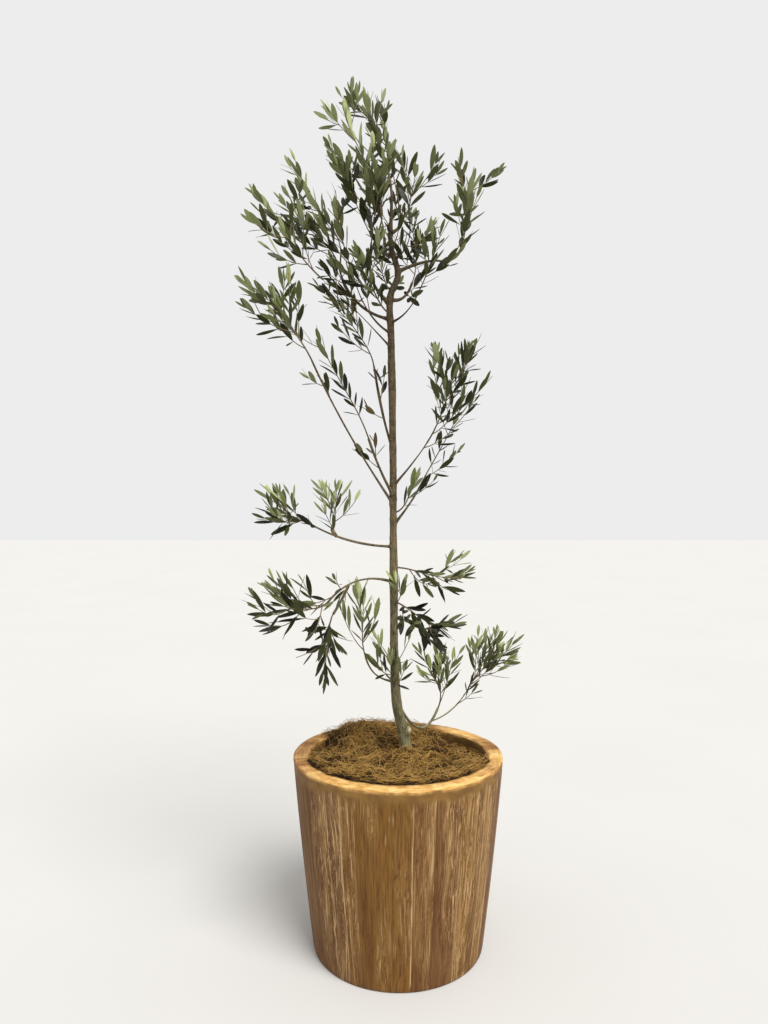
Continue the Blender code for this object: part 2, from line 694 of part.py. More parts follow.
def grow_mass(name, number, limbs, numbers, space, parent):
    """Stem, side shoots and leaves of one mass, fused into one body."""
    base, height, tip, spread, shoots, lift = MASSES[name]
    rng = random.Random(number)
    if height is None:
        point, way, radius = limbs[base].at(1.0)
        start = point + GAP * way
        surface = None
    else:
        start = limbs[base].at(limbs[base].at_height(height))[0]
        way = unit((tip[0] - start[0], tip[1] - start[1], 0))
        radius = TRUNK_SHOOT_RADIUS
        surface = limbs[base]
    stem = stem_limb(start, way, tip, STEM_SHARE * radius)
    mass = Mass(number, stem, numbers[base], spread, space)
    kept = mass.add_twig(stem)
    if kept is None or len(kept.points) < len(stem.points):
        print("stem cut short:", name)
    mass.leaf_pairs(kept, STEM_BARE, rng)
    for k in range(shoots):
        share = SHOOT_FROM + (SHOOT_TO - SHOOT_FROM) * (k + rng.uniform(*SHOOT_SPOT)) / shoots
        lean = SHOOT_LEAN * rng.uniform(*SHOOT_LEAN_RANGE)
        length = SHOOT_REACH * spread * rng.uniform(*SHOOT_REACH_RANGE)
        shoot = mass.add_twig(shoot_limb(kept, share, k * GOLDEN_ANGLE + number, lean, length, lift))
        if shoot is not None:
            mass.leaf_pairs(shoot, SHOOT_BARE, rng)
    body = tube(f"{name}_stem", kept, TWIG_SIDES, "olive_leaf", None, on=surface)
    pieces = [tube(f"{name}_shoot", shoot, TWIG_SIDES, "olive_leaf", None) for shoot in mass.twigs[1:]]
    pieces += [new_object(f"{name}_leaf", *leaf, "olive_leaf") for leaf in mass.leaves]
    print(name, "shoots", len(mass.twigs) - 1, "leaves", len(mass.leaves))
    fuse(f"foliage_{name}", body, pieces, parent)
    return len(mass.leaves)


def build():
    """The planter with its soil and fibre mat, then the tree."""
    clear_scene()
    plant = bpy.data.objects.new("olive_tree", None)
    bpy.context.scene.collection.objects.link(plant)
    make_planter(plant)
    make_soil(plant)
    make_mulch(plant)
    limbs = {"trunk": trunk_limb()}
    numbers = {"trunk": 0}
    space = Space()
    tube("trunk", limbs["trunk"], TRUNK_SIDES, "olive_bark", plant)
    for number, (name, sizes) in enumerate(BOUGHS.items(), start=1):
        limbs[name] = bough_limb(limbs, *sizes)
        numbers[name] = number
        tube(f"bough_{name}", limbs[name], BOUGH_SIDES, "olive_bark", plant, on=limbs[sizes[0]])
    for name, limb in limbs.items():
        space.add(*tube_body(limb, BOUGH_SIDES), numbers[name], 0)
    total = 0
    for number, name in enumerate(MASSES, start=100):
        total += grow_mass(name, number, limbs, numbers, space, plant)
    print("leaves in all", total)


build()
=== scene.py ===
import math
import random

import bpy
import numpy as np
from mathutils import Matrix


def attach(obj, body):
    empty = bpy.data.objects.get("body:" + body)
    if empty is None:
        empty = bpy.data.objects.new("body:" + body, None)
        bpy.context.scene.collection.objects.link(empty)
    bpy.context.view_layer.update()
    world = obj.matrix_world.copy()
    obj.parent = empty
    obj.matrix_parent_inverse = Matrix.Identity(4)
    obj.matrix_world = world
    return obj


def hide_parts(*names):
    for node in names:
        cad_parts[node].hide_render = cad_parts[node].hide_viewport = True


# Potted olive tree: the looks. Metres, +Z up, the tree's front towards -Y.
# Tub, fibre, bark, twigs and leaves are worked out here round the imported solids.

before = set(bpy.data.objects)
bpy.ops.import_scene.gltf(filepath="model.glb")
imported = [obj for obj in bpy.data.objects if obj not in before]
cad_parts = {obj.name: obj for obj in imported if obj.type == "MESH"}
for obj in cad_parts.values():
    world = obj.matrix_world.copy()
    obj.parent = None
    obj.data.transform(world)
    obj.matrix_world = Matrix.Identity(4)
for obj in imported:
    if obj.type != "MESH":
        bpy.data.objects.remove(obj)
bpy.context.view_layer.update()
print("frame loaded,", len(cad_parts), "nodes")


# Helpers shared by every piece

def linear(hexCode):
    # sRGB hex to linear: c / 12.92 when dark, otherwise ((c + 0.055) / 1.055) to the power 2.4
    channels = [int(hexCode[k:k + 2], 16) / 255 for k in (1, 3, 5)]
    return [c / 12.92 if c <= 0.04045 else ((c + 0.055) / 1.055) ** 2.4 for c in channels] + [1.0]


def addNode(tree, kind, settings=None, links=None):
    # settings are the node's own properties, "stops" those of a colour ramp;
    # links give each input a socket to join or a plain value
    node = tree.nodes.new(kind)
    for name, value in (settings or {}).items():
        if name == "stops":
            while len(node.color_ramp.elements) < len(value):
                node.color_ramp.elements.new(1.0)
            for element, (place, hexCode) in zip(node.color_ramp.elements, value):
                element.position = place
                element.color = linear(hexCode)
        else:
            setattr(node, name, value)
    for name, value in (links or {}).items():
        if isinstance(value, bpy.types.NodeSocket):
            tree.links.new(value, node.inputs[name])
        else:
            node.inputs[name].default_value = value
    return node


def newMaterial(name, sockets):
    # a material with plain values on its shader's sockets
    made = bpy.data.materials.new(name)
    made.use_nodes = True
    shader = made.node_tree.nodes["Principled BSDF"]
    for socket, value in sockets.items():
        shader.inputs[socket].default_value = value
    return made, made.node_tree, shader


def newPiece(name, points, faces, finishes, tints=None, marks=None, crease=60):
    # points (n, 3); faces: arrays of corner numbers, one array for triangles and one for quads;
    # tints: each face's material number; marks: named values or vectors, one for each point
    mesh = bpy.data.meshes.new(name)
    corners = np.concatenate([part.ravel() for part in faces])
    counts = np.concatenate([np.full(len(part), part.shape[1]) for part in faces])
    mesh.vertices.add(len(points))
    mesh.vertices.foreach_set("co", np.asarray(points, dtype=np.float32).ravel())
    mesh.loops.add(len(corners))
    mesh.loops.foreach_set("vertex_index", corners.astype(np.int32))
    mesh.polygons.add(len(counts))
    mesh.polygons.foreach_set("loop_start", np.concatenate([[0], np.cumsum(counts)[:-1]]).astype(np.int32))
    if tints is not None:
        mesh.polygons.foreach_set("material_index", np.asarray(tints, dtype=np.int32))
    mesh.update(calc_edges=True)
    mesh.validate()
    mesh.shade_smooth()
    mesh.set_sharp_from_angle(angle=math.radians(crease))
    for markName, values in (marks or {}).items():
        values = np.asarray(values, dtype=np.float32)
        kind, field = ("FLOAT_VECTOR", "vector") if values.ndim == 2 else ("FLOAT", "value")
        layer = mesh.attributes.new(markName, kind, "POINT")
        layer.data.foreach_set(field, values.ravel())
    for finish in finishes:
        mesh.materials.append(finish)
    piece = bpy.data.objects.new(name, mesh)
    bpy.context.scene.collection.objects.link(piece)
    print(name, "made,", int((counts - 2).sum()), "triangles")
    return piece


def place(piece, slotName, nodes):
    # every piece rides on the one body and stands for its solids
    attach(piece, "root")
    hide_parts(*nodes)


def gridFaces(rows, columns):
    # quads between neighbouring rows of a grid that closes round on itself
    row = np.arange(rows - 1)[:, None] * columns
    column = np.arange(columns)[None, :]
    after = (column + 1) % columns
    corners = (row + column, row + after, row + columns + after, row + columns + column)
    return np.stack(np.broadcast_arrays(*corners), axis=-1).reshape(-1, 4)


def poleFaces(rows, columns):
    # triangles from the two poles, which follow the grid's points, to its first and last rows
    first = np.arange(columns)
    after = (first + 1) % columns
    last = (rows - 1) * columns
    low = np.full(columns, rows * columns)
    bottom = np.stack([low, after, first], axis=-1)
    top = np.stack([low + 1, first + last, after + last], axis=-1)
    return np.concatenate([bottom, top])


def softNoise(rows, columns, along, around, rng):
    # random heights blurred by a bell curve of so many rows and columns, spread 1, no seam
    spectrum = np.fft.rfft2(rng.normal(size=(rows, columns)))
    down = np.fft.fftfreq(rows)[:, None] * along
    across = np.fft.rfftfreq(columns)[None, :] * around
    bell = np.exp(-2 * math.pi ** 2 * (down ** 2 + across ** 2))
    soft = np.fft.irfft2(spectrum * bell, s=(rows, columns))
    return soft / soft.std()


def fade(value, low, high):
    # 0 below low, 1 above high, and the cubic 3t^2 - 2t^3 between
    t = np.clip((value - low) / (high - low), 0, 1)
    return t * t * (3 - 2 * t)


# Tub

tub = {
    "height": 0.362,          # to the rim
    "rimRadius": 0.200,
    "footRadius": 0.161,
    "bow": 0.18,              # how much the wall swells between foot and rim
    "wall": 0.030,
    "floor": 0.030,
    "footRound": 0.004,
    "rimRound": 0.005,
    "around": 1200,           # columns of the mesh
    "up": 44,                 # rows up the wall
    "strips": 27,             # strips of wood round the tub
    "stripSpread": 0.55,      # how unequal their widths are
    "jointWidth": 0.0012,
    "jointDepth": 0.0009,
    "stripStep": 0.00030,     # how far strips stand proud of one another
    "grainDepth": 0.00018,
    "chips": 70,              # small chips under the band and along the joints
    "chipDepth": 0.0011,
    "chipWide": (0.0008, 0.0015),
    "chipLong": (0.003, 0.010),
    "bandFrom": 0.332,        # the smooth band under the rim
    "bandTo": 0.343,
    "rimWear": 0.0004,
    "rimLine": (0.0052, 0.0036),      # below the rim, where its worn colour begins and is full
    # where the rim is darker: angle and half width
    "rimSides": [(182, 50), (4, 52), (95, 60)],
    # where there is more or less chalk: how much, angle and half width
    "worked": [(0.85, 229, 17), (0.50, 307, 20), (-0.55, 273, 17), (-0.40, 250, 8)],
    "footShade": (0.5, 0.11),        # painted shade: how much less chalk, so darker wood, at the foot, and how far up
    "grainRadius": 0.18,      # the grain is drawn on a cylinder this wide, so that it follows the flare
    "seed": 21,
}


def tubRadius(height):
    # foot radius plus the flare, as a parabola through foot and rim
    share = height / tub["height"]
    flare = (1 + tub["bow"]) * share - tub["bow"] * share ** 2
    return tub["footRadius"] + (tub["rimRadius"] - tub["footRadius"]) * flare


def arcPoints(centre, radius, start, end, steps):
    # points of an arc in the (radius, height) plane
    angles = np.radians(np.linspace(start, end, steps + 1))
    return np.stack([centre[0] + radius * np.cos(angles), centre[1] + radius * np.sin(angles)], axis=-1)


# streaks drawn out along the wood: width and length of one in metres, detail and bend
tubStreaks = {
    "grain": (0.0018, 0.045, 3, 0.4),     # pores: a millimetre on the real wood, nearly twice that here
    "figure": (0.011, 0.16, 3, 1.8),      # growth rings cut lengthwise
    "shade": (0.036, 0.30, 2, 0.6),       # where the stain took more or less
    "wiped": (0.015, 0.20, 2, 0.8),       # where the cloth left chalk
    "busy": (0.055, 0.40, 1, 0.0),        # where there is much of it and where little
    "chalk": (0.0017, 0.050, 3, 0.3),     # brush marks in it
    "lines": (0.0013, 0.17, 1, 0.2),      # scratches full of chalk
    "scrapes": (0.0042, 0.034, 3, 0.9),   # where the brush left a thick daub
    "dust": (0.0016, 0.0075, 2, 0.0),     # specks in the open pores
    "along": (0.0060, 0.060, 2, 0.0),     # breaks the chalk along a joint
    "wear": (0.022, 0.0030, 4, 0.5),      # how the rim is worn
    "rings": (0.035, 0.0024, 3, 0.3),     # pores, which run round the rim
    "stain": (0.030, 0.020, 3, 0.5),      # darker and paler parts of the band
}
# tones laid over the strips' own colour: streaks, strength and stops
stripStops = [(0.0, "#6c5037"), (0.3, "#71542d"), (0.6, "#745729"), (0.85, "#7b5e2d"), (1.0, "#6a4d27")]
tubTones = [
    ("shade", 0.80, [(0.36, "#dfc6ae"), (0.50, "#f9f1e2"), (0.64, "#fff4d6")]),
    ("figure", 0.75, [(0.34, "#cdb088"), (0.50, "#fff9ee"), (0.66, "#e6d1ab")]),
    ("grain", 0.80, [(0.32, "#a98b64"), (0.50, "#efe1c8"), (0.68, "#ffffff")]),
]
# chalk left on the wood: name, strength, colour, and between which values of each streak it comes in
tubChalk = [
    ("limed", 0.75, "#a58356", [("chalk", 0.30, 0.66), ("wiped", 0.40, 0.68)]),
    ("dusty", 0.50, "#a98759", [("dust", 0.54, 0.72)]),
    ("lined", 0.85, "#c9a979", [("lines", 0.625, 0.68)]),
    ("scraped", 0.65, "#b28f5d", [("scrapes", 0.60, 0.70)]),
]
tubRamps = {
    "stain": [(0.38, "#6b4b24"), (0.52, "#775628"), (0.66, "#826130")],
    "wear": [(0.28, "#b0874a"), (0.42, "#c79f5f"), (0.56, "#d8b475"), (0.70, "#e8cb93")],
    "rubbed": [(0.34, "#7b5529"), (0.50, "#8f6937"), (0.66, "#a47d47")],
    "rings": [(0.34, "#c4a06e"), (0.50, "#f4e6cc"), (0.64, "#ffffff")],
    # painted shade: the inside wall's near-black tones stand for the shade inside the tub
    "lining": [(0.35, "#2b1909"), (0.65, "#40270f")],
}


def limewashedStrips():
    # Strips of brown wood glued into a tub, brushed, limewashed and wiped: dull, with chalk left
    # in the pores and along some joints, a plain stained band under the rim and a worn pale rim;
    # painted shade makes the inside wall near black further down, and the foot darker by less chalk
    made, tree, shader = newMaterial("limewashedStrips", {"IOR": 1.45, "Specular IOR Level": 0.3})
    plainSpot = addNode(tree, "ShaderNodeTexCoord").outputs["Object"]
    grainSpot = addNode(tree, "ShaderNodeAttribute", {"attribute_name": "grain"}).outputs["Vector"]
    share = {}
    for name in ("strip", "joint", "jointLime", "jointGap", "chip", "band", "rim", "rimBrown",
                 "inside", "worked"):
        share[name] = addNode(tree, "ShaderNodeAttribute", {"attribute_name": name}).outputs["Fac"]
    # the grain wanders a few millimetres to either side over a hand's length
    slow = addNode(tree, "ShaderNodeMapping", None, {0: grainSpot, 3: (1 / 0.05, 1 / 0.05, 1 / 0.22)})
    links = {"Vector": slow.outputs[0], "Scale": 1.0, "Detail": 1}
    wander = addNode(tree, "ShaderNodeTexNoise", None, links)
    links = {0: wander.outputs["Color"], 1: (0.020, 0.020, 0.020), 2: grainSpot}
    wavySpot = addNode(tree, "ShaderNodeVectorMath", {"operation": "MULTIPLY_ADD"}, links).outputs[0]
    # on the rim the third coordinate is the distance from the tub's middle, so lines run round it
    links = {0: plainSpot, 1: (1, 1, 0)}
    flat = addNode(tree, "ShaderNodeVectorMath", {"operation": "MULTIPLY"}, links).outputs[0]
    away = addNode(tree, "ShaderNodeVectorMath", {"operation": "LENGTH"}, {0: flat}).outputs["Value"]
    links = {0: away, 1: (0, 0, 1), 2: flat}
    ringSpot = addNode(tree, "ShaderNodeVectorMath", {"operation": "MULTIPLY_ADD"}, links).outputs[0]
    spots = {"wear": plainSpot, "stain": plainSpot, "rings": ringSpot}
    streak = {}
    for name, (wide, long, detail, bend) in tubStreaks.items():
        links = {0: spots.get(name, wavySpot), 3: (1 / wide, 1 / wide, 1 / long)}
        stretch = addNode(tree, "ShaderNodeMapping", None, links)
        links = {"Vector": stretch.outputs[0], "Scale": 1.0, "Detail": detail, "Distortion": bend}
        streak[name] = addNode(tree, "ShaderNodeTexNoise", None, links).outputs[0]
    ramp = {}
    for name, stops in tubRamps.items():
        value = streak[{"rubbed": "wear", "lining": "shade"}.get(name, name)]
        ramp[name] = addNode(tree, "ShaderNodeValToRGB", {"stops": stops}, {0: value}).outputs[0]

    wood = addNode(tree, "ShaderNodeValToRGB", {"stops": stripStops}, {0: share["strip"]}).outputs[0]
    for name, strength, stops in tubTones:
        tone = addNode(tree, "ShaderNodeValToRGB", {"stops": stops}, {0: streak[name]}).outputs[0]
        settings = {"data_type": "RGBA", "blend_type": "MULTIPLY"}
        wood = addNode(tree, "ShaderNodeMix", settings, {0: strength, 6: wood, 7: tone}).outputs[2]
    smooth = {"interpolation_type": "SMOOTHSTEP"}
    links = {0: streak["busy"], 1: 0.36, 2: 0.62}
    links = {0: addNode(tree, "ShaderNodeMapRange", smooth, links).outputs[0], 1: share["worked"]}
    busy = addNode(tree, "ShaderNodeMath", {"operation": "ADD", "use_clamp": True}, links).outputs[0]
    for name, strength, _, streaks in tubChalk:
        links = {0: busy, 1: strength}
        share[name] = addNode(tree, "ShaderNodeMath", {"operation": "MULTIPLY"}, links).outputs[0]
        for other, low, high in streaks:
            links = {0: streak[other], 1: low, 2: high, 3: 0.0, 4: share[name]}
            share[name] = addNode(tree, "ShaderNodeMapRange", smooth, links).outputs[0]
    links = {0: streak["along"], 1: 0.36, 2: 0.60}
    share["broken"] = addNode(tree, "ShaderNodeMapRange", smooth, links).outputs[0]
    links = {0: share["rimBrown"], 6: ramp["wear"], 7: ramp["rubbed"]}
    worn = addNode(tree, "ShaderNodeMix", {"data_type": "RGBA"}, links)
    settings = {"data_type": "RGBA", "blend_type": "MULTIPLY"}
    links = {0: 0.75, 6: worn.outputs[2], 7: ramp["rings"]}
    worn = addNode(tree, "ShaderNodeMix", settings, links).outputs[2]
    layers = [((name,), linear(colour)) for name, _, colour, _ in tubChalk]
    layers += [(("joint", "jointLime", "broken"), linear("#cfb080")),
               (("joint", "jointGap"), linear("#4b3218")),
               (("chip",), linear("#d2b182")), (("band",), ramp["stain"]), (("rim",), worn),
               (("inside",), ramp["lining"])]
    for names, colour in layers:
        amount = share[names[0]]
        for name in names[1:]:
            links = {0: amount, 1: share[name]}
            amount = addNode(tree, "ShaderNodeMath", {"operation": "MULTIPLY"}, links).outputs[0]
        links = {0: amount, 6: wood, 7: colour}
        wood = addNode(tree, "ShaderNodeMix", {"data_type": "RGBA"}, links).outputs[2]
    tree.links.new(wood, shader.inputs["Base Color"])
    dull = addNode(tree, "ShaderNodeMapRange", None, {0: share["limed"], 3: 0.62, 4: 0.86}).outputs[0]
    tree.links.new(dull, shader.inputs["Roughness"])
    links = {0: streak["dust"], 1: 0.6, 2: streak["grain"]}
    rough = addNode(tree, "ShaderNodeMath", {"operation": "MULTIPLY_ADD"}, links).outputs[0]
    bump = addNode(tree, "ShaderNodeBump", None, {"Strength": 0.40, "Distance": 0.0008, "Height": rough})
    tree.links.new(bump.outputs[0], shader.inputs["Normal"])
    return made


def makeTub():
    # A surface of the angle round the axis and the way along a profile from the middle of the
    # underside, up the wall, over the rim and down inside; the wall's radius carries the relief
    rng = np.random.default_rng(tub["seed"])
    low = 2 * tub["footRound"]
    high = tub["height"] - 2 * tub["rimRound"]
    heights = np.linspace(low, high, tub["up"])
    foot = arcPoints((tubRadius(0) - tub["footRound"], tub["footRound"]), tub["footRound"], -90, -10, 4)
    wall = np.stack([tubRadius(heights), heights], axis=-1)
    rimOut = (tub["rimRadius"] - tub["rimRound"], tub["height"] - tub["rimRound"])
    rimIn = (tub["rimRadius"] - tub["wall"] + tub["rimRound"], tub["height"] - tub["rimRound"])
    lip = [arcPoints(rimOut, tub["rimRound"], 10, 90, 6), arcPoints(rimIn, tub["rimRound"], 90, 180, 6)]
    down = np.linspace(high, tub["floor"], 12)
    lining = np.stack([tubRadius(down) - tub["wall"], down], axis=-1)
    profile = np.concatenate([foot, wall, *lip, lining])
    radius, height = profile.T
    rows, columns = len(profile), tub["around"]
    angle = np.arange(columns) * math.tau / columns
    outside = np.arange(rows) < len(foot) + len(wall)

    # strips of unequal width, and how far each column is from the nearest joint
    widths = 1 + tub["stripSpread"] * rng.uniform(-1, 1, tub["strips"])
    joints = np.cumsum(widths) / widths.sum() * math.tau
    strip = np.searchsorted(joints, angle) % tub["strips"]
    apart = np.abs((angle[:, None] - joints[None, :] + math.pi) % math.tau - math.pi)
    nearest = apart.argmin(axis=1)
    joint = np.exp(-(apart.min(axis=1) * tub["rimRadius"] / tub["jointWidth"]) ** 2)
    jointKind = rng.uniform(0, 1, tub["strips"])[nearest]
    jointDepth = rng.uniform(0.2, 1.0, tub["strips"])[nearest]

    # chips: bells a few millimetres wide, near a joint or just under the band
    chipJoint = joints[rng.integers(0, tub["strips"], tub["chips"])] + rng.normal(0, 0.02, tub["chips"])
    chipAngle = np.where(rng.random(tub["chips"]) < 0.5, chipJoint, rng.uniform(0, math.tau, tub["chips"]))
    fromBand = rng.exponential(0.035, tub["chips"])
    chipHeight = np.clip(tub["bandFrom"] - fromBand, 0.012, tub["bandFrom"])
    turn = (angle[None, :] - chipAngle[:, None] + math.pi) % math.tau - math.pi
    chipWide = rng.uniform(*tub["chipWide"], (tub["chips"], 1))
    acrossChip = np.exp(-(turn * tub["rimRadius"] / chipWide) ** 2)
    chipLong = rng.uniform(*tub["chipLong"], tub["chips"])
    alongChip = np.exp(-((height[:, None] - chipHeight[None, :]) / chipLong) ** 2)
    chip = np.clip(alongChip @ acrossChip, 0, 1)

    streaky = softNoise(rows, columns, 9, 1.3, rng) + 0.6 * softNoise(rows, columns, 4, 3.0, rng)
    carved = tub["grainDepth"] * streaky - tub["jointDepth"] * (joint * jointDepth)[None, :]
    proud = rng.uniform(-1, 1, tub["strips"])[strip][None, :]
    carved = carved + tub["stripStep"] * proud - tub["chipDepth"] * chip
    wander = 0.003 * softNoise(1, columns, 1, 9, rng) + 0.0015 * softNoise(1, columns, 1, 2, rng)
    bandShare = fade(height[:, None] + wander, tub["bandFrom"], tub["bandTo"])
    wallShare = fade(height, low, low + 0.01)[:, None] * (1 - bandShare) * outside[:, None]
    nearRim = fade(height, tub["bandTo"], tub["height"])[:, None]
    wear = softNoise(rows, columns, 6, 22, rng) + 0.5 * softNoise(rows, columns, 2, 4, rng)
    worn = tub["rimWear"] * wear * nearRim
    isLip = (height > high)[:, None]
    full = radius[:, None] + carved * wallShare + worn * (outside[:, None] | isLip)
    tall = height[:, None] - 0.5 * np.abs(worn) * nearRim
    grid = np.stack([full * np.cos(angle), full * np.sin(angle), np.broadcast_to(tall, full.shape)], -1)
    poles = [[0, 0, 0], [0, 0, tub["floor"]]]
    points = np.concatenate([grid.reshape(-1, 3), poles])

    def spread(values):
        # a value for each point from one for each row or each column, and 0 at the poles
        return np.append(np.broadcast_to(values, (rows, columns)).ravel(), [0, 0])

    # each strip's grain starts at a depth and height of its own
    depth = tub["grainRadius"] + 0.05 * rng.uniform(-1, 1, tub["strips"])[strip]
    lift = 2.0 * rng.uniform(-1, 1, tub["strips"])[strip]
    alongWay = np.concatenate([[0], np.cumsum(np.linalg.norm(np.diff(profile, axis=0), axis=1))])
    grain = np.stack([spread(depth * np.cos(angle)), spread(depth * np.sin(angle)),
                      spread(alongWay[:, None] + lift[None, :])], axis=-1)
    rimFrom, rimFull = (tub["height"] - below for below in tub["rimLine"])
    rimShare = fade(height[:, None] + 0.15 * wander, rimFrom, rimFull)
    inner = np.arange(rows) > len(foot) + len(wall) + 10

    def near(middle, half):
        # 1 at an angle in degrees, falling to 0 half that many degrees further on
        turn = np.abs((np.degrees(angle) - middle + 180) % 360 - 180)
        return 1 - fade(turn, 0.4 * half, half)

    # the rim is darker at the sides and back, and a part of the front was wiped clean
    sides = np.clip(sum(near(*place) for place in tub["rimSides"]), 0, 1)
    rimBrown = sides[None, :] * np.clip(0.75 + 0.35 * wear, 0, 1)
    worked = sum(share * near(middle, half) for share, middle, half in tub["worked"])
    shadeAtFoot, footUp = tub["footShade"]
    marks = {
        "grain": grain,
        "strip": spread(rng.uniform(0, 1, tub["strips"])[strip][None, :]),
        "joint": spread(joint[None, :] * wallShare),
        "jointLime": spread(fade(jointKind, 0.52, 0.78)[None, :]),
        "jointGap": spread(0.75 * (1 - fade(jointKind, 0.22, 0.48))[None, :]),
        "chip": spread(0.35 * chip * wallShare),
        "band": spread(bandShare),
        "rim": spread(rimShare),
        # painted shade on the inside wall, fading in from 4 mm under the rim to full at 22 mm
        "inside": spread((inner * fade(tub["height"] - height, 0.004, 0.022))[:, None]),
        "rimBrown": spread(rimBrown),
        # chalk by angle, less towards the foot as painted shade
        "worked": spread(worked[None, :] - shadeAtFoot * (1 - fade(height, 0.0, footUp))[:, None]),
    }
    faces = [poleFaces(rows, columns), gridFaces(rows, columns)]
    piece = newPiece("tubStrips", points, faces, [limewashedStrips()], marks=marks, crease=50)
    place(piece, "limed_wood", ["planter"])


def pottingSoil():
    # Peat and bark crumbs, damp: near black with brown crumbs, very dull
    made, tree, shader = newMaterial("pottingSoil", {"Roughness": 0.95, "Specular IOR Level": 0.2})
    spot = addNode(tree, "ShaderNodeTexCoord").outputs["Object"]
    crumbs = addNode(tree, "ShaderNodeTexNoise", None, {"Vector": spot, "Scale": 1 / 0.004, "Detail": 5})
    stops = [(0.35, "#150e09"), (0.55, "#2c1d12"), (0.75, "#4c3521")]
    tone = addNode(tree, "ShaderNodeValToRGB", {"stops": stops}, {0: crumbs.outputs[0]})
    links = {"Strength": 0.9, "Distance": 0.003, "Height": crumbs.outputs[0]}
    bump = addNode(tree, "ShaderNodeBump", None, links)
    tree.links.new(tone.outputs[0], shader.inputs["Base Color"])
    tree.links.new(bump.outputs[0], shader.inputs["Normal"])
    return made


makeTub()
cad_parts["soil"].data.materials.clear()
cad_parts["soil"].data.materials.append(pottingSoil())
print("tub and soil done")


# Coconut fibre

fibre = {
    "edge": 0.1685,           # the mat reaches the tub's inside wall
    "low": 0.3225,            # its underside, on the soil
    "top": 0.349,
    "crown": 0.006,
    "lump": 0.0070,
    "lumpWaves": 14,
    "lumpLong": (0.060, 0.89),    # the longest wave, and each next one as a share of the last
    "lumpTall": 0.9,          # the next one's height as a share of the last
    "lumpTurn": 2.399963,     # the golden angle between their directions
    "lumpPhase": 1.7,
    "lumpSpread": 3.2,        # brings the sum to about 1
    "fuzz": 0.0011,
    "frontLift": 0.011,       # how much higher the mat is along the front wall
    "overlap": 0.0022,        # how far it reaches on to the rim's rounding there
    "resting": (-0.0006, 0.0010),     # its height over the rim there, and how uneven that is
    "restFrom": 0.96,         # share of the way out from which it rests on the rim
    "trunkFoot": (0.021, 0.047),
    "hollowPlace": (0.006, 0.052),
    "hollow": 0.025,          # radius of the hollow beside the trunk's foot
    "hollowDepth": 0.021,
    "heap": (-0.075, 0.122, 0.026, 0.058),    # x, y, height and width of the heap at the back
    "heapRight": (0.010, 0.140, 0.014, 0.050),
    "gaps": [(24, 32, 0.034, 0.032), (164, 14, 0.024, 0.026)],   # angle, half width, how wide and how deep
    "rings": 90,
    "around": 360,
    "strands": 9300,
    "strandPieces": 3,
    "strandParts": 10,
    "strandLength": (0.036, 0.105),
    "strandStart": 0.42,      # power of the spread from the middle out
    "strandBend": 24,         # turn for each metre
    "strandSwing": 0.70,      # and how far it swings to and fro besides
    "swayWaves": 1.4,
    "flowTurn": 2.4,          # how much the locks' direction varies
    "flowSpread": 0.75,
    "besideSpread": 0.45,
    "lowHump": (0.0002, 0.0026),
    "tallHump": (0.003, 0.012),
    "lowShare": 0.78,
    "looseShare": 0.08,       # strands whose tip stands up
    "tipLift": (0.005, 0.020),
    "nearEdge": 0.017,        # strands that start nearer the wall than this run along it
    "strandRadius": (0.00014, 0.00028),       # thicker than real fibres, so that they show
    "tintShares": (0.26, 0.57, 0.84),         # how many strands are dark, brown and gold, added up
    "paleThicker": 1.6,
    "seed": 5,
}
fibreTints = {"fibrePale": "#ac8646", "fibreGold": "#604318", "fibreBrown": "#342109",
              "fibreDark": "#160c03"}


def lumps(x, y):
    # a sum of sine waves in spread-out directions, each shorter and lower than the last
    longest, shorter = fibre["lumpLong"]
    total = 0.0
    for k in range(fibre["lumpWaves"]):
        heading = k * fibre["lumpTurn"]
        wave = math.tau / (longest * shorter ** k)
        turned = wave * (x * math.cos(heading) + y * math.sin(heading)) + fibre["lumpPhase"] * k
        total = total + fibre["lumpTall"] ** k * np.sin(turned)
    return total / fibre["lumpSpread"]


def gapShare(x, y):
    # 1 inside the gaps between the mat and the wall, which the mat paints dark as shade, 0 elsewhere
    share = 0.0
    away = np.hypot(x, y)
    for middle, half, wide, _ in fibre["gaps"]:
        turn = np.abs((np.degrees(np.arctan2(y, x)) - middle + 180) % 360 - 180)
        taper = 1 - np.clip(turn / half, 0, 1) ** 2
        inside = fibre["edge"] - wide * np.sqrt(taper)
        share = np.maximum(share, fade(away, inside - 0.004, inside + 0.004) * (taper > 0.001))
    return share


def frontShare(x, y):
    # 1 along the front of the tub, falling to 0 at its sides
    return fade(-y / np.maximum(np.hypot(x, y), 0.02), -0.15, 0.45)


def matHeight(x, y):
    # top of the mat: a low crown with lumps and heaps, less the hollow at the trunk and the gaps
    away = np.hypot(x, y)
    rise = fibre["top"] + fibre["crown"] * np.cos(0.5 * math.pi * np.clip(away / fibre["edge"], 0, 1))
    rise = rise + fibre["lump"] * lumps(x, y)
    rise = rise + fibre["frontLift"] * frontShare(x, y) * fade(away, 0.10, 0.16)
    for name in ("heap", "heapRight"):
        heapX, heapY, tall, wide = fibre[name]
        rise = rise + tall * np.exp(-((x - heapX) ** 2 + (y - heapY) ** 2) / wide ** 2)
    footX, footY = fibre["hollowPlace"]
    apart = ((x - footX) ** 2 + (y - footY) ** 2) / fibre["hollow"] ** 2
    rise = rise - fibre["hollowDepth"] * np.exp(-apart)
    deep = max(gap[3] for gap in fibre["gaps"])
    return np.maximum(rise - deep * gapShare(x, y), fibre["low"] + 0.001)


def mayOverlap(x, y):
    # 1 at the back left and along the front, where strands may lie over the rim, 0 elsewhere
    heading = np.degrees(np.arctan2(y, x)) % 360
    back = fade(heading, 66, 78) * (1 - fade(heading, 148, 156))
    return back + fade(heading, 188, 200) * (1 - fade(heading, 340, 352))


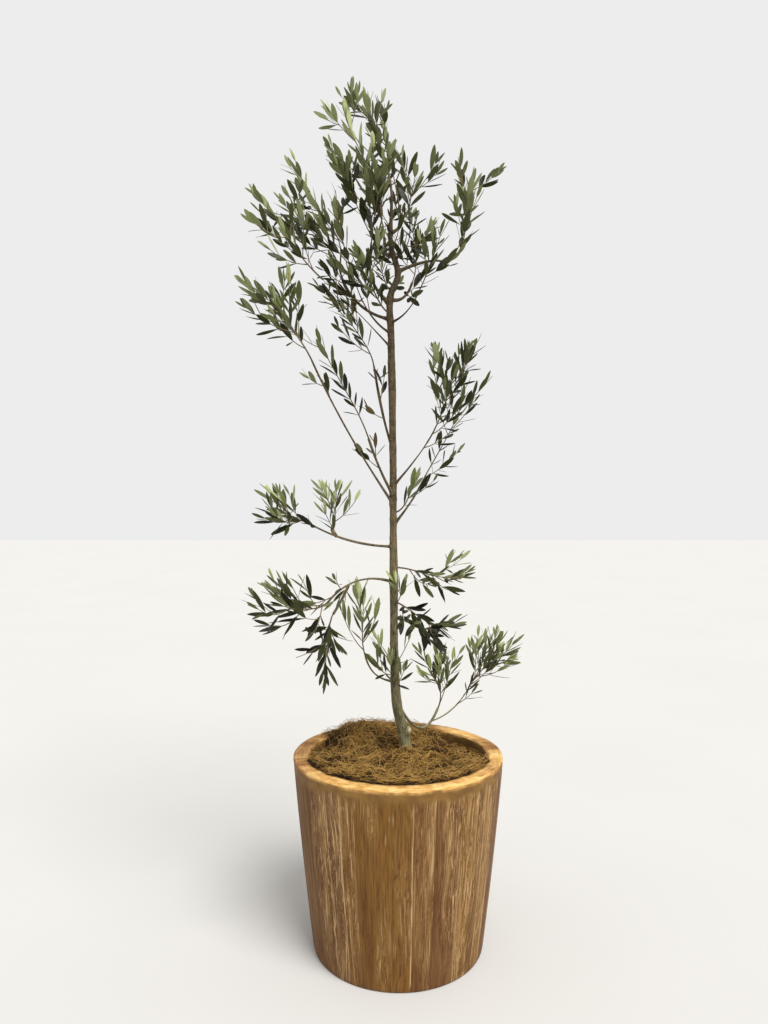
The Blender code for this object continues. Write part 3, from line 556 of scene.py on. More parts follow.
def layHeight(x, y):
    # where a loose strand lies: on the mat, or on the tub's rim past the inside wall
    over = fade(np.hypot(x, y), fibre["edge"] - 0.008, fibre["edge"]) * mayOverlap(x, y)
    return matHeight(x, y) * (1 - over) + np.maximum(matHeight(x, y), tub["height"] + 0.0006) * over


def coirMat():
    # Pressed coconut fibre: a brown felt, near black as painted shade for the pits between the strands
    made, tree, shader = newMaterial("coirMat", {"Roughness": 0.92, "Specular IOR Level": 0.25})
    spot = addNode(tree, "ShaderNodeTexCoord").outputs["Object"]
    warp = addNode(tree, "ShaderNodeTexNoise", None, {"Vector": spot, "Scale": 1 / 0.02, "Detail": 2})
    links = {0: warp.outputs["Color"], 1: (0.02, 0.02, 0.02), 2: spot}
    bent = addNode(tree, "ShaderNodeVectorMath", {"operation": "MULTIPLY_ADD"}, links)
    links = {0: bent.outputs[0], 3: (1 / 0.009, 1 / 0.0012, 1 / 0.003)}
    stretch = addNode(tree, "ShaderNodeMapping", None, links)
    links = {"Vector": stretch.outputs[0], "Scale": 1.0, "Detail": 4}
    felt = addNode(tree, "ShaderNodeTexNoise", None, links)
    # painted shade: dark felt tones for the shaded depths under the strands
    stops = [(0.32, "#160c04"), (0.50, "#2f1e0a"), (0.68, "#523817")]
    tone = addNode(tree, "ShaderNodeValToRGB", {"stops": stops}, {0: felt.outputs[0]})
    # painted shade: the deep mark turns the gaps and the mat's sides near black
    deep = addNode(tree, "ShaderNodeAttribute", {"attribute_name": "deep"})
    links = {0: deep.outputs["Fac"], 6: tone.outputs[0], 7: linear("#170d04")}
    tone = addNode(tree, "ShaderNodeMix", {"data_type": "RGBA"}, links)
    links = {"Strength": 0.9, "Distance": 0.0015, "Height": felt.outputs[0]}
    bump = addNode(tree, "ShaderNodeBump", None, links)
    tree.links.new(tone.outputs[2], shader.inputs["Base Color"])
    tree.links.new(bump.outputs[0], shader.inputs["Normal"])
    return made


def coirStrands():
    # Combed coconut husk: stiff hairs from straw to dark brown, a little shiny
    finishes = []
    for name, hexCode in fibreTints.items():
        sockets = {"Base Color": linear(hexCode), "Roughness": 0.65, "Specular IOR Level": 0.22}
        finishes.append(newMaterial(name, sockets)[0])
    return finishes


def makeMat():
    # A surface of the angle and the way from the trunk's foot to the wall, then down the side
    # and back under; its height is the mat's height plus a fine roughness
    rng = np.random.default_rng(fibre["seed"])
    rings, columns = fibre["rings"], fibre["around"]
    angle = np.arange(columns) * math.tau / columns
    share = np.linspace(0, 1, rings)[:, None] ** 0.9
    footX, footY = fibre["trunkFoot"]
    uneven = 0.75 + 0.25 * np.clip(softNoise(1, columns, 1, 4, rng), -1, 1)
    front = frontShare(np.cos(angle), np.sin(angle))
    edge = fibre["edge"] + fibre["overlap"] * front * uneven
    x = footX * (1 - share) + share * edge * np.cos(angle) + 0.004 * (1 - share) * np.cos(angle)
    y = footY * (1 - share) + share * edge * np.sin(angle) + 0.004 * (1 - share) * np.sin(angle)
    fuzz = softNoise(rings, columns, 1.0, 1.0, rng) * fibre["fuzz"]
    top = matHeight(x, y) + fuzz * (1 - share ** 8)
    resting = tub["height"] + fibre["resting"][0] + fibre["resting"][1] * uneven
    top = np.maximum(top, np.where(share > fibre["restFrom"], resting * front, 0))
    grid = np.stack([x, y, top], axis=-1)
    wallX, wallY = fibre["edge"] * np.cos(angle), fibre["edge"] * np.sin(angle)
    under = np.stack([wallX, wallY, np.full(columns, fibre["low"])], axis=-1)
    # rows run from the wall's underside up over the top and in to the trunk
    rows = np.concatenate([under[None], grid[::-1]])
    poles = [[0, 0, fibre["low"]], [footX, footY, top[0].mean()]]
    points = np.concatenate([rows.reshape(-1, 3), poles])
    # painted shade: 1 in the gaps by the wall, and down the mat's sides, fading in below a height of 0.334
    # m
    deep = np.maximum(gapShare(points[:, 0], points[:, 1]), fade(-points[:, 2], -0.334, -0.326))
    faces = [poleFaces(len(rows), columns), gridFaces(len(rows), columns)]
    piece = newPiece("coirMat", points, faces, [coirMat()], marks={"deep": deep})
    place(piece, "coconut_fibre", ["mulch"])


def strandPaths(count, rng):
    # Each strand sets out from a random spot on a heading that turns as it goes; its height is
    # the mat's plus a hump, and it is kept inside the wall unless it lies over the rim
    parts = fibre["strandParts"]
    start = rng.uniform(0, 1, count) ** fibre["strandStart"] * fibre["edge"]
    around = rng.uniform(0, math.tau, count)
    length = rng.uniform(*fibre["strandLength"], count)
    steps = np.linspace(0, 1, parts)[None, :]
    bend = rng.normal(0, fibre["strandBend"], count)[:, None]
    swing = rng.normal(0, fibre["strandSwing"], (count, 1))
    phase = rng.uniform(0, 1, (count, 1))
    sway = swing * np.sin(fibre["swayWaves"] * math.tau * (steps + phase))
    # locks of strands that lie much the same way, a few centimetres wide
    flow = fibre["flowTurn"] * lumps(0.5 * start * np.cos(around) + 0.4, 0.5 * start * np.sin(around))
    first = flow + rng.normal(0, fibre["flowSpread"], count) + math.pi * (rng.random(count) < 0.5)
    beside = around + rng.choice((-0.5, 0.5), count) * math.pi
    beside = beside + rng.normal(0, fibre["besideSpread"], count)
    first = np.where(start > fibre["edge"] - fibre["nearEdge"], beside, first)
    heading = first[:, None] + bend * length[:, None] * steps + sway
    stride = (length / (parts - 1))[:, None]
    x = start[:, None] * np.cos(around)[:, None] + np.cumsum(stride * np.cos(heading), axis=1)
    y = start[:, None] * np.sin(around)[:, None] + np.cumsum(stride * np.sin(heading), axis=1)
    away = np.hypot(x, y)
    ragged = np.clip(0.008 + 0.003 * lumps(x, y) + rng.uniform(-0.003, 0.003, (count, 1)), 0.004, 0.013)
    reach = np.where(y > 0, 0.016, ragged)
    limit = fibre["edge"] - 0.001 + reach * mayOverlap(x, y)
    keep = np.minimum(1, limit / np.maximum(away, 1e-6))
    x, y = x * keep, y * keep
    low, tall = rng.uniform(*fibre["lowHump"], count), rng.uniform(*fibre["tallHump"], count)
    hump = np.where(rng.uniform(0, 1, count) < fibre["lowShare"], low, tall)
    loose = rng.uniform(0, 1, count) < fibre["looseShare"]
    tipLift = loose[:, None] * rng.uniform(*fibre["tipLift"], (count, 1))
    rise = hump[:, None] * np.sin(math.pi * steps) + tipLift * steps ** 2
    z = layHeight(x, y) + 0.0002 + rise
    footX, footY = fibre["trunkFoot"]
    clear = np.hypot(x - footX, y - footY).min(axis=1) > 0.011
    sunk = gapShare(x, y).mean(axis=1) * 3.5 < rng.uniform(0, 1, count)
    # painted highlight and shade: the higher a strand arches or its tip stands, the paler it is; besides
    # that paler by chance, with darker and paler patches a few centimetres wide
    patch = lumps(0.6 * x.mean(axis=1) + 0.3, 0.6 * y.mean(axis=1))
    paleAndLit = hump * 70 + loose * 0.3 + rng.uniform(0, 0.55, count) + 0.30 * patch
    return np.stack([x, y, z], axis=-1)[clear & sunk], paleAndLit[clear & sunk]


def strandBodies(paths, radius):
    # Three-sided tubes along many paths at once: two directions square to each path carry the ring
    ways = np.gradient(paths, axis=1)
    ways /= np.linalg.norm(ways, axis=-1, keepdims=True)
    first = np.cross(ways, (0.0, 0.0, 1.0))
    first /= np.maximum(np.linalg.norm(first, axis=-1, keepdims=True), 1e-9)
    second = np.cross(ways, first)
    parts = paths.shape[1]
    taper = 1 - 0.45 * np.abs(np.linspace(-1, 1, parts)) ** 3
    sides = np.arange(3) * math.tau / 3
    ring = first[:, :, None] * np.cos(sides)[:, None] + second[:, :, None] * np.sin(sides)[:, None]
    wide = (radius[:, None] * taper)[:, :, None, None]
    points = paths[:, :, None, :] + ring * wide
    quads = gridFaces(parts, 3)
    ends = np.array([[0, 2, 1], [3 * parts - 3, 3 * parts - 2, 3 * parts - 1]])
    offsets = (np.arange(len(paths)) * parts * 3)[:, None, None]
    return points.reshape(-1, 3), (quads + offsets).reshape(-1, 4), (ends + offsets).reshape(-1, 3)


def makeStrands():
    # tubes for all strands, the palest ones thicker, shared out evenly over the pieces
    rng = np.random.default_rng(fibre["seed"] + 1)
    finishes = coirStrands()
    paths, paleAndLit = strandPaths(fibre["strands"], rng)
    # tints by paleness, partly painted highlight: the strands lying lowest get the darkest
    tint = 3 - np.searchsorted(np.quantile(paleAndLit, fibre["tintShares"]), paleAndLit)
    thicker = np.where(tint == 0, fibre["paleThicker"], 1.0)
    radius = rng.uniform(*fibre["strandRadius"], len(paths)) * thicker
    for number, chosen in enumerate(np.array_split(np.arange(len(paths)), fibre["strandPieces"]), start=1):
        points, quads, ends = strandBodies(paths[chosen], radius[chosen])
        perStrand = tint[chosen]
        sides = np.repeat(perStrand, len(quads) // len(perStrand))
        tints = np.concatenate([np.repeat(perStrand, 2), sides])
        piece = newPiece(f"coirStrands{number}", points, [ends, quads], finishes, tints=tints, crease=180)
        place(piece, "coconut_fibre", ["mulch"])


makeMat()
makeStrands()
print("coconut fibre done")


# Limbs, by the rule of the solids: trunk and boughs are curves with a radius along them

trunkSizes = {
    "places": [
        (0.021, 0.047, 0.3223),
        (0.012, 0.040, 0.385),
        (-0.003, 0.030, 0.455),
        (-0.007, 0.020, 0.573),
        (-0.008, 0.015, 0.710),
        (-0.010, 0.010, 0.943),
        (-0.013, 0.010, 1.147),
        (-0.016, 0.010, 1.235),
        (0.000, 0.018, 1.287),
        (-0.014, 0.028, 1.350),
        (-0.012, 0.028, 1.432),
    ],
    "footRadius": 0.0130,
    "radius": 0.0066,
    "forkHeight": 1.235,
    "tipRadius": 0.0030,
    "flareRadius": 0.0055,
    "flareHeight": 0.016,
    "taperHeight": 0.16,
    "step": 0.0030,           # between rings of the bark, on the boughs too
    "around": 36,
    "ridge": 0.00022,         # depth of the bark's lengthwise ridges
    "wave": 0.00045,          # slow unevenness of the stem
    "collar": 0.0012,         # swelling under each bough
    "collarWide": 0.0060,
    "scars": 46,              # where small shoots fell off
    "scarTall": 0.0009,
    "scarWide": 0.0028,
    "knobHeight": 0.393,      # the stub on the right of the foot
    "knobTall": 0.0062,
    "knobWide": 0.0060,
    "knobFront": 0.35,        # how far it sits towards the front, as a share of the radius
    "seed": 8,
}
boughSizes = {
    "around": 14,
    "collar": 0.35,
    "collarSteps": 0.6,
    "ruleStep": 0.030,        # the solids' spacing of points, which their collar counts in
    "footShare": 0.72,
    "flare": 0.50,            # how much the foot widens where it leaves its parent
    "flareLong": 0.006,
    "ridge": 0.00012,
    "wave": 0.00020,
    "seed": 9,
}
# bough: parent, foot (height on the trunk, or share of a bough), tip, bend, foot and tip radius
boughs = {
    "top_left": ("trunk", 1.228, (-0.037, -0.020, 1.356), (-0.026, -0.008, -0.012), 0.0034, 0.0018),
    "top_right": ("trunk", 1.372, (0.003, 0.062, 1.440), (0.010, 0.004, -0.010), 0.0022, 0.0015),
    "right_shoulder": ("trunk", 1.318, (0.020, -0.036, 1.376), (0.012, -0.006, -0.010), 0.0023, 0.0015),
    "crown_front": ("top_left", 0.50, (-0.050, -0.080, 1.312), (-0.002, -0.010, -0.012), 0.0019, 0.0014),
    "crown_back": ("trunk", 1.332, (-0.026, 0.092, 1.385), (-0.004, 0.012, -0.014), 0.0023, 0.0015),
    "crown_left": ("trunk", 1.170, (-0.084, -0.046, 1.262), (-0.006, -0.006, -0.016), 0.0022, 0.0015),
    "back_right": ("trunk", 1.236, (0.030, 0.076, 1.288), (0.004, 0.006, -0.012), 0.0021, 0.0014),
    "right_high": ("trunk", 1.292, (0.088, 0.046, 1.322), (0.006, 0.006, 0.010), 0.0024, 0.0016),
    "right_under": ("trunk", 1.190, (0.038, -0.046, 1.234), (0.004, -0.006, -0.010), 0.0020, 0.0014),
    "left_high": ("trunk", 1.197, (-0.118, 0.034, 1.312), (-0.014, 0.006, -0.018), 0.0026, 0.0017),
    "left_tall": ("left_high", 0.60, (-0.114, 0.066, 1.342), (-0.008, 0.006, -0.008), 0.0017, 0.0014),
    "left_upper": ("trunk", 1.141, (-0.140, -0.068, 1.250), (-0.005, -0.012, 0.006), 0.0025, 0.0017),
    "left_middle": ("trunk", 0.838, (-0.158, -0.080, 1.098), (-0.010, -0.006, 0.004), 0.0024, 0.0017),
    "left_inner": ("trunk", 0.856, (-0.056, -0.026, 0.962), (-0.002, -0.004, -0.004), 0.0020, 0.0015),
    "inner_left": ("trunk", 0.942, (-0.047, 0.026, 1.110), (-0.002, 0.004, -0.006), 0.0021, 0.0015),
    "right_middle": ("trunk", 0.873, (0.055, -0.026, 0.955), (0.006, -0.006, 0.004), 0.0024, 0.0017),
    "right_behind": ("trunk", 0.798, (0.045, 0.044, 0.876), (0.004, 0.004, 0.000), 0.0022, 0.0015),
    "left_low": ("trunk", 0.756, (-0.166, -0.048, 0.802), (-0.004, -0.010, -0.010), 0.0022, 0.0016),
    "left_sprig": ("left_low", 0.68, (-0.122, -0.024, 0.800), (-0.006, 0.002, 0.000), 0.0015, 0.0013),
    "left_lower": ("trunk", 0.686, (-0.126, -0.118, 0.664), (-0.006, -0.012, 0.022), 0.0024, 0.0017),
    "left_under": ("left_lower", 0.70, (-0.118, -0.096, 0.640), (0.003, 0.006, 0.002), 0.0016, 0.0014),
    "inner_low": ("trunk", 0.491, (-0.062, -0.028, 0.550), (-0.008, -0.006, -0.010), 0.0019, 0.0014),
    "right_base": ("trunk", 0.453, (0.085, 0.110, 0.416), (0.004, 0.008, -0.050), 0.0022, 0.0017),
    "right_outer": ("right_base", 0.82, (0.152, 0.138, 0.452), (0.004, 0.004, -0.012), 0.0016, 0.0014),
}


def unit(vectors):
    # vectors at length one
    vectors = np.asarray(vectors, dtype=float)
    return vectors / np.linalg.norm(vectors, axis=-1, keepdims=True)


def squareTo(way):
    # two unit vectors square to a direction and to each other
    aside = np.cross(way, (0, 0, 1)) if abs(way[2]) < 0.95 else np.cross(way, (1, 0, 0))
    first = unit(aside)
    return first, np.cross(way, first)


def alongLimb(limb, share):
    # point, direction and radius at a share of the limb's length
    points, radii = limb
    steps = np.linalg.norm(np.diff(points, axis=0), axis=1)
    run = np.concatenate([[0], np.cumsum(steps)]) / steps.sum()
    k = min(int(np.searchsorted(run, share, side="right")) - 1, len(steps) - 1)
    part = (share - run[k]) / (run[k + 1] - run[k])
    point = points[k] + part * (points[k + 1] - points[k])
    return point, (points[k + 1] - points[k]) / steps[k], radii[k] + part * (radii[k + 1] - radii[k])


def shareAtHeight(limb, height):
    # share of the length at which the axis reaches this height
    points = limb[0]
    run = np.concatenate([[0], np.cumsum(np.linalg.norm(np.diff(points, axis=0), axis=1))])
    return float(np.interp(height, points[:, 2], run / run[-1]))


def limbLength(limb):
    # the straight parts between the limb's points, added up
    return float(np.linalg.norm(np.diff(limb[0], axis=0), axis=1).sum())


def smoothThrough(places, step):
    # on each stretch a cubic whose slope at a place is half the way between the places beside it
    places = np.array(places)
    held = np.concatenate([[2 * places[0] - places[1]], places, [2 * places[-1] - places[-2]]])
    stretches = []
    for before, start, end, after in zip(held, held[1:], held[2:], held[3:]):
        parts = max(1, round(float(np.linalg.norm(end - start)) / step))
        t = np.linspace(0, 1, parts, endpoint=False)[:, None]
        cubic = (2 * start + (end - before) * t + (2 * before - 5 * start + 4 * end - after) * t ** 2
                 + (3 * start - before - 3 * end + after) * t ** 3)
        stretches.append(0.5 * cubic)
    return np.concatenate([*stretches, places[-1:]])


def trunkLimb(step):
    # radius: even up the stem, thicker near the soil by two exponentials, tapering past the fork
    points = smoothThrough(trunkSizes["places"], step)
    rise = points[:, 2] - points[0, 2]
    stem = trunkSizes["radius"]
    radii = stem + (trunkSizes["footRadius"] - stem) * np.exp(-rise / trunkSizes["taperHeight"])
    radii = radii + trunkSizes["flareRadius"] * np.exp(-rise / trunkSizes["flareHeight"])
    fork = trunkSizes["forkHeight"]
    above = np.clip((points[:, 2] - fork) / (points[-1, 2] - fork), 0, 1)
    return points, radii * (1 - above) + trunkSizes["tipRadius"] * above


def boughLimb(limbs, parent, foot, tip, bend, footRadius, tipRadius, step):
    # the straight line to the tip plus 4t(1 - t) of the bend, with a collar that fades from the foot
    share = shareAtHeight(limbs[parent], foot) if parent == "trunk" else foot
    start, _, parentRadius = alongLimb(limbs[parent], share)
    chord = np.array(tip) - start
    ruleParts = max(3, round(float(np.linalg.norm(chord)) / boughSizes["ruleStep"]))
    t = np.linspace(0, 1, max(4, round(float(np.linalg.norm(chord)) / step)) + 1)
    points = start + t[:, None] * chord + (4 * t * (1 - t))[:, None] * np.array(bend)
    collar = boughSizes["collar"] * footRadius * np.exp(-t * ruleParts / boughSizes["collarSteps"])
    radii = footRadius + (tipRadius - footRadius) * t + collar
    return points, np.minimum(radii, boughSizes["footShare"] * parentRadius)


def buildLimbs(step):
    # the trunk, then each bough on its parent, with points about a step apart
    limbs = {"trunk": trunkLimb(step)}
    for name, sizes in boughs.items():
        limbs[name] = boughLimb(limbs, *sizes, step)
    return limbs


def ringFrames(points, startWay=None):
    # directions along a path and two square to them, carried from ring to ring without twist
    ways = unit(np.gradient(points, axis=0))
    if startWay is not None:
        ways[0] = startWay
    first, second = np.zeros_like(ways), np.zeros_like(ways)
    held, _ = squareTo(ways[0])
    for k, way in enumerate(ways):
        held = unit(held - way * np.dot(held, way))
        first[k] = held
        second[k] = np.cross(way, held)
    return ways, first, second


def tubeGrid(limb, around, startWay=None):
    # centre plus radius times (cos a, sin a) in the ring's own directions
    points, radii = limb
    _, first, second = ringFrames(points, startWay)
    angle = np.arange(around) * math.tau / around
    spokes = first[:, None] * np.cos(angle)[None, :, None] + second[:, None] * np.sin(angle)[None, :, None]
    return points[:, None] + spokes * radii[:, None, None], spokes


def oliveBark():
    # Bark of a young olive: thin, grey-green and nearly smooth low down, browner and cracked
    # lengthwise higher up, and darker there as painted shade of the crown, with small pale pores,
    # and a paler cut where a shoot was taken off
    made, tree, shader = newMaterial("oliveBark", {"Specular IOR Level": 0.25, "Roughness": 0.82})
    spot = addNode(tree, "ShaderNodeTexCoord").outputs["Object"]
    height = addNode(tree, "ShaderNodeSeparateXYZ", None, {0: spot}).outputs[2]
    stretch = addNode(tree, "ShaderNodeMapping", None, {0: spot, 3: (1 / 0.0017, 1 / 0.0017, 1 / 0.016)})
    links = {"Vector": stretch.outputs[0], "Scale": 1.0, "Detail": 4}
    cracks = addNode(tree, "ShaderNodeTexNoise", None, links)
    patches = addNode(tree, "ShaderNodeTexNoise", None, {"Vector": spot, "Scale": 1 / 0.014, "Detail": 3})
    pores = addNode(tree, "ShaderNodeTexVoronoi", None, {"Vector": spot, "Scale": 1 / 0.0055})
    lifted = addNode(tree, "ShaderNodeMapRange", None, {0: height, 1: 0.34, 2: 1.36})
    # darker up the stem: partly the bark's own browning, partly painted shade inside the crown
    ageAndShadeStops = [(0.0, "#989474"), (0.10, "#89846a"), (0.30, "#7a7159"), (0.62, "#6a5c46"), (1.0, "#4e4231")]
    age = addNode(tree, "ShaderNodeValToRGB", {"stops": ageAndShadeStops}, {0: lifted.outputs[0]})
    crackStops = [(0.32, "#5c5347"), (0.50, "#d6d1c6"), (0.68, "#fffdf6")]
    crackTone = addNode(tree, "ShaderNodeValToRGB", {"stops": crackStops}, {0: cracks.outputs[0]})
    patchStops = [(0.36, "#a9ad93"), (0.52, "#f4f4ee"), (0.68, "#ecdcc0")]
    patchTone = addNode(tree, "ShaderNodeValToRGB", {"stops": patchStops}, {0: patches.outputs[0]})
    mixKind = {"data_type": "RGBA", "blend_type": "MULTIPLY"}
    tone = addNode(tree, "ShaderNodeMix", mixKind, {0: 0.75, 6: age.outputs[0], 7: crackTone.outputs[0]})
    tone = addNode(tree, "ShaderNodeMix", mixKind, {0: 0.85, 6: tone.outputs[2], 7: patchTone.outputs[0]})
    links = {0: pores.outputs["Distance"], 1: 0.16, 2: 0.08, 3: 0.0, 4: 0.5}
    dots = addNode(tree, "ShaderNodeMapRange", None, links)
    links = {0: dots.outputs[0], 6: tone.outputs[2], 7: linear("#b9ae90")}
    tone = addNode(tree, "ShaderNodeMix", {"data_type": "RGBA"}, links)
    cut = addNode(tree, "ShaderNodeAttribute", {"attribute_name": "cut"})
    links = {0: cut.outputs["Fac"], 6: tone.outputs[2], 7: linear("#c9bfa0")}
    tone = addNode(tree, "ShaderNodeMix", {"data_type": "RGBA"}, links)
    tree.links.new(tone.outputs[2], shader.inputs["Base Color"])
    links = {"Strength": 0.5, "Distance": 0.0007, "Height": cracks.outputs[0]}
    bump = addNode(tree, "ShaderNodeBump", None, links)
    tree.links.new(bump.outputs[0], shader.inputs["Normal"])
    return made


def barkOf(limb, around, ridge, wave, rng, swellings=(), startWay=None):
    # the tube plus relief along its spokes: fine ridges that run lengthwise, a slow wave, and
    # round swellings that fall off as a bell curve from their own centres
    grid, spokes = tubeGrid(limb, around, startWay)
    rows = len(grid)
    relief = ridge * softNoise(rows, around, 5.0, 0.9, rng) + wave * softNoise(rows, around, 11, 5.0, rng)
    cut = np.zeros(grid.shape[:2])
    for centre, tall, wide, fresh in swellings:
        bell = np.exp(-((grid - centre) ** 2).sum(axis=-1) / (2 * wide ** 2))
        relief = relief + tall * bell
        cut = np.maximum(cut, fresh * fade(bell, 0.55, 0.9))
    grid = grid + spokes * relief[..., None]
    points = np.concatenate([grid.reshape(-1, 3), limb[0][:1], limb[0][-1:]])
    return points, poleFaces(rows, around), gridFaces(rows, around), np.append(cut.ravel(), [0, 0])


def makeTrunk(limbs, bark):
    # the trunk's tube with swellings under its boughs, scars of shoots and the stub at its foot
    rng = np.random.default_rng(trunkSizes["seed"])
    trunk = limbs["trunk"]
    swellings = []
    for name, sizes in boughs.items():
        if sizes[0] == "trunk":
            way = unit(limbs[name][0][3] - limbs[name][0][0])
            centre = limbs[name][0][0] + 0.8 * trunkSizes["radius"] * way
            swellings.append((centre, trunkSizes["collar"], trunkSizes["collarWide"], 0.0))
    for k in range(trunkSizes["scars"]):
        point, way, radius = alongLimb(trunk, rng.uniform(0.05, 0.97))
        first, second = squareTo(way)
        turn = rng.uniform(0, math.tau)
        centre = point + radius * (math.cos(turn) * first + math.sin(turn) * second)
        tall = trunkSizes["scarTall"] * rng.uniform(0.4, 1.0)
        swellings.append((centre, tall, trunkSizes["scarWide"], 0.0))
    point, _, radius = alongLimb(trunk, shareAtHeight(trunk, trunkSizes["knobHeight"]))
    knob = point + np.array((radius, -trunkSizes["knobFront"] * radius, 0))
    swellings.append((knob, trunkSizes["knobTall"], trunkSizes["knobWide"], 0.75))
    points, poles, quads, cut = barkOf(trunk, trunkSizes["around"], trunkSizes["ridge"], trunkSizes["wave"],
                                       rng, swellings, (0, 0, 1))
    piece = newPiece("trunkBark", points, [poles, quads], [bark], marks={"cut": cut}, crease=180)
    place(piece, "olive_bark", ["trunk"])


def makeBoughs(limbs, bark):
    # all boughs as one piece, each widened at its foot by an exponential of the way from its parent
    rng = np.random.default_rng(boughSizes["seed"])
    allPoints, allPoles, allQuads = [], [], []
    total = 0
    for name in boughs:
        points, radii = limbs[name]
        gone = np.linalg.norm(points - points[0], axis=1)
        bare = max(0.0, alongLimb(limbs[boughs[name][0]], 0.5)[2] - 0.001)
        fall = np.exp(-np.maximum(gone - bare, 0) / boughSizes["flareLong"])
        widened = radii * (1 + boughSizes["flare"] * fall)
        limit = limbs[boughs[name][0]][1].max() if boughs[name][0] == "trunk" else 1.3 * radii[0]
        tube = (points, np.minimum(widened, 0.95 * limit))
        body, poles, quads, _ = barkOf(tube, boughSizes["around"], boughSizes["ridge"],
                                       boughSizes["wave"], rng)
        allPoints.append(body)
        allPoles.append(poles + total)
        allQuads.append(quads + total)
        total += len(body)
    faces = [np.concatenate(allPoles), np.concatenate(allQuads)]
    piece = newPiece("boughBark", np.concatenate(allPoints), faces, [bark], crease=180)
    place(piece, "olive_bark", [f"bough_{name}" for name in boughs])


fineLimbs = buildLimbs(trunkSizes["step"])
bark = oliveBark()
makeTrunk(fineLimbs, bark)
makeBoughs(fineLimbs, bark)
print("bark done")


# Foliage, by the rule of the solids carried to finer twigs

# mass: limb it goes on from, height on the trunk or None for the limb's tip, tip of the stem,
# spread, side shoots of the solid, lift of the shoots, tone of its leaves (painted light and
# shade for how lit the mass is), group of leaves
masses = {
    "top_middle": ("trunk", None, (-0.062, 0.012, 1.628), 0.056, 6, 0.6, 0.85, "crown"),
    "top_left": ("top_left", None, (-0.104, -0.028, 1.584), 0.066, 7, 0.6, 0.9, "crown"),
    "top_right": ("top_right", None, (-0.028, 0.086, 1.612), 0.056, 6, 0.6, 0.35, "crown"),
    "right_shoulder": ("right_shoulder", None, (0.030, -0.068, 1.440), 0.062, 5, 0.6, 0.4, "crown"),
    "crown_front": ("crown_front", None, (-0.056, -0.128, 1.396), 0.070, 6, 0.5, 0.35, "crown"),
    "crown_back": ("crown_back", None, (-0.066, 0.146, 1.550), 0.074, 6, 0.5, 0.1, "crown"),
    "crown_left": ("crown_left", None, (-0.116, -0.078, 1.372), 0.062, 5, 0.5, 0.45, "crown"),
    "crown_inner": ("trunk", 1.208, (-0.070, -0.086, 1.288), 0.060, 5, 0.5, 0.45, "crown"),
    "back_right": ("back_right", None, (0.042, 0.134, 1.405), 0.068, 5, 0.5, 0.2, "crown"),
    "back_low": ("trunk", 1.258, (-0.036, 0.126, 1.346), 0.066, 4, 0.4, 0.3, "crown"),
    "right_high": ("right_high", None, (0.150, 0.056, 1.490), 0.062, 6, 0.6, 0.6, "crown"),
    "right_under": ("right_under", None, (0.062, -0.080, 1.290), 0.052, 4, 0.4, 0.35, "crown"),
    "left_high": ("left_high", None, (-0.224, 0.026, 1.430), 0.060, 6, 0.6, 0.7, "crown"),
    "left_tall": ("left_tall", None, (-0.196, 0.068, 1.494), 0.046, 4, 0.6, 0.8, "crown"),
    "left_upper": ("left_upper", None, (-0.208, -0.094, 1.330), 0.058, 5, 0.6, 0.4, "side"),
    "left_middle": ("left_middle", None, (-0.224, -0.102, 1.204), 0.066, 6, 0.5, 0.4, "side"),
    "left_inner": ("left_inner", None, (-0.148, -0.058, 1.146), 0.046, 6, 0.4, 0.1, "side"),
    "inner_left": ("inner_left", None, (-0.108, 0.022, 1.222), 0.058, 6, 0.5, 0.15, "side"),
    "right_middle": ("right_middle", None, (0.106, -0.046, 1.090), 0.070, 7, 0.7, 0.1, "side"),
    "right_behind": ("right_behind", None, (0.132, 0.100, 1.040), 0.064, 6, 0.4, 0.3, "side"),
    "right_sprig": ("trunk", 0.822, (0.034, -0.014, 0.884), 0.046, 3, 0.4, 0.3, "side"),
    "left_low": ("left_low", None, (-0.210, -0.068, 0.814), 0.066, 5, 0.4, 0.2, "low"),
    "left_sprig": ("left_sprig", None, (-0.122, -0.022, 0.838), 0.052, 3, 0.4, 0.5, "low"),
    "left_lower": ("left_lower", None, (-0.204, -0.142, 0.660), 0.066, 6, 0.45, 0.25, "low"),
    "left_under": ("left_under", None, (-0.128, -0.092, 0.584), 0.062, 5, 0.15, 0.3, "low"),
    "inner_low": ("inner_low", None, (-0.066, -0.034, 0.652), 0.046, 3, 0.6, 0.3, "low"),
    "foot_shoot": ("trunk", 0.480, (-0.016, -0.020, 0.548), 0.050, 3, 0.4, 0.3, "low"),
    "right_low": ("trunk", 0.715, (0.112, 0.074, 0.692), 0.064, 6, 0.3, 0.7, "low"),
    "right_lower": ("trunk", 0.648, (0.070, -0.106, 0.622), 0.068, 6, 0.35, 0.8, "low"),
    "right_base": ("right_base", None, (0.086, 0.122, 0.498), 0.060, 5, 0.3, 0.2, "low"),
    "right_outer": ("right_outer", None, (0.206, 0.152, 0.520), 0.066, 6, 0.4, 0.15, "low"),
}
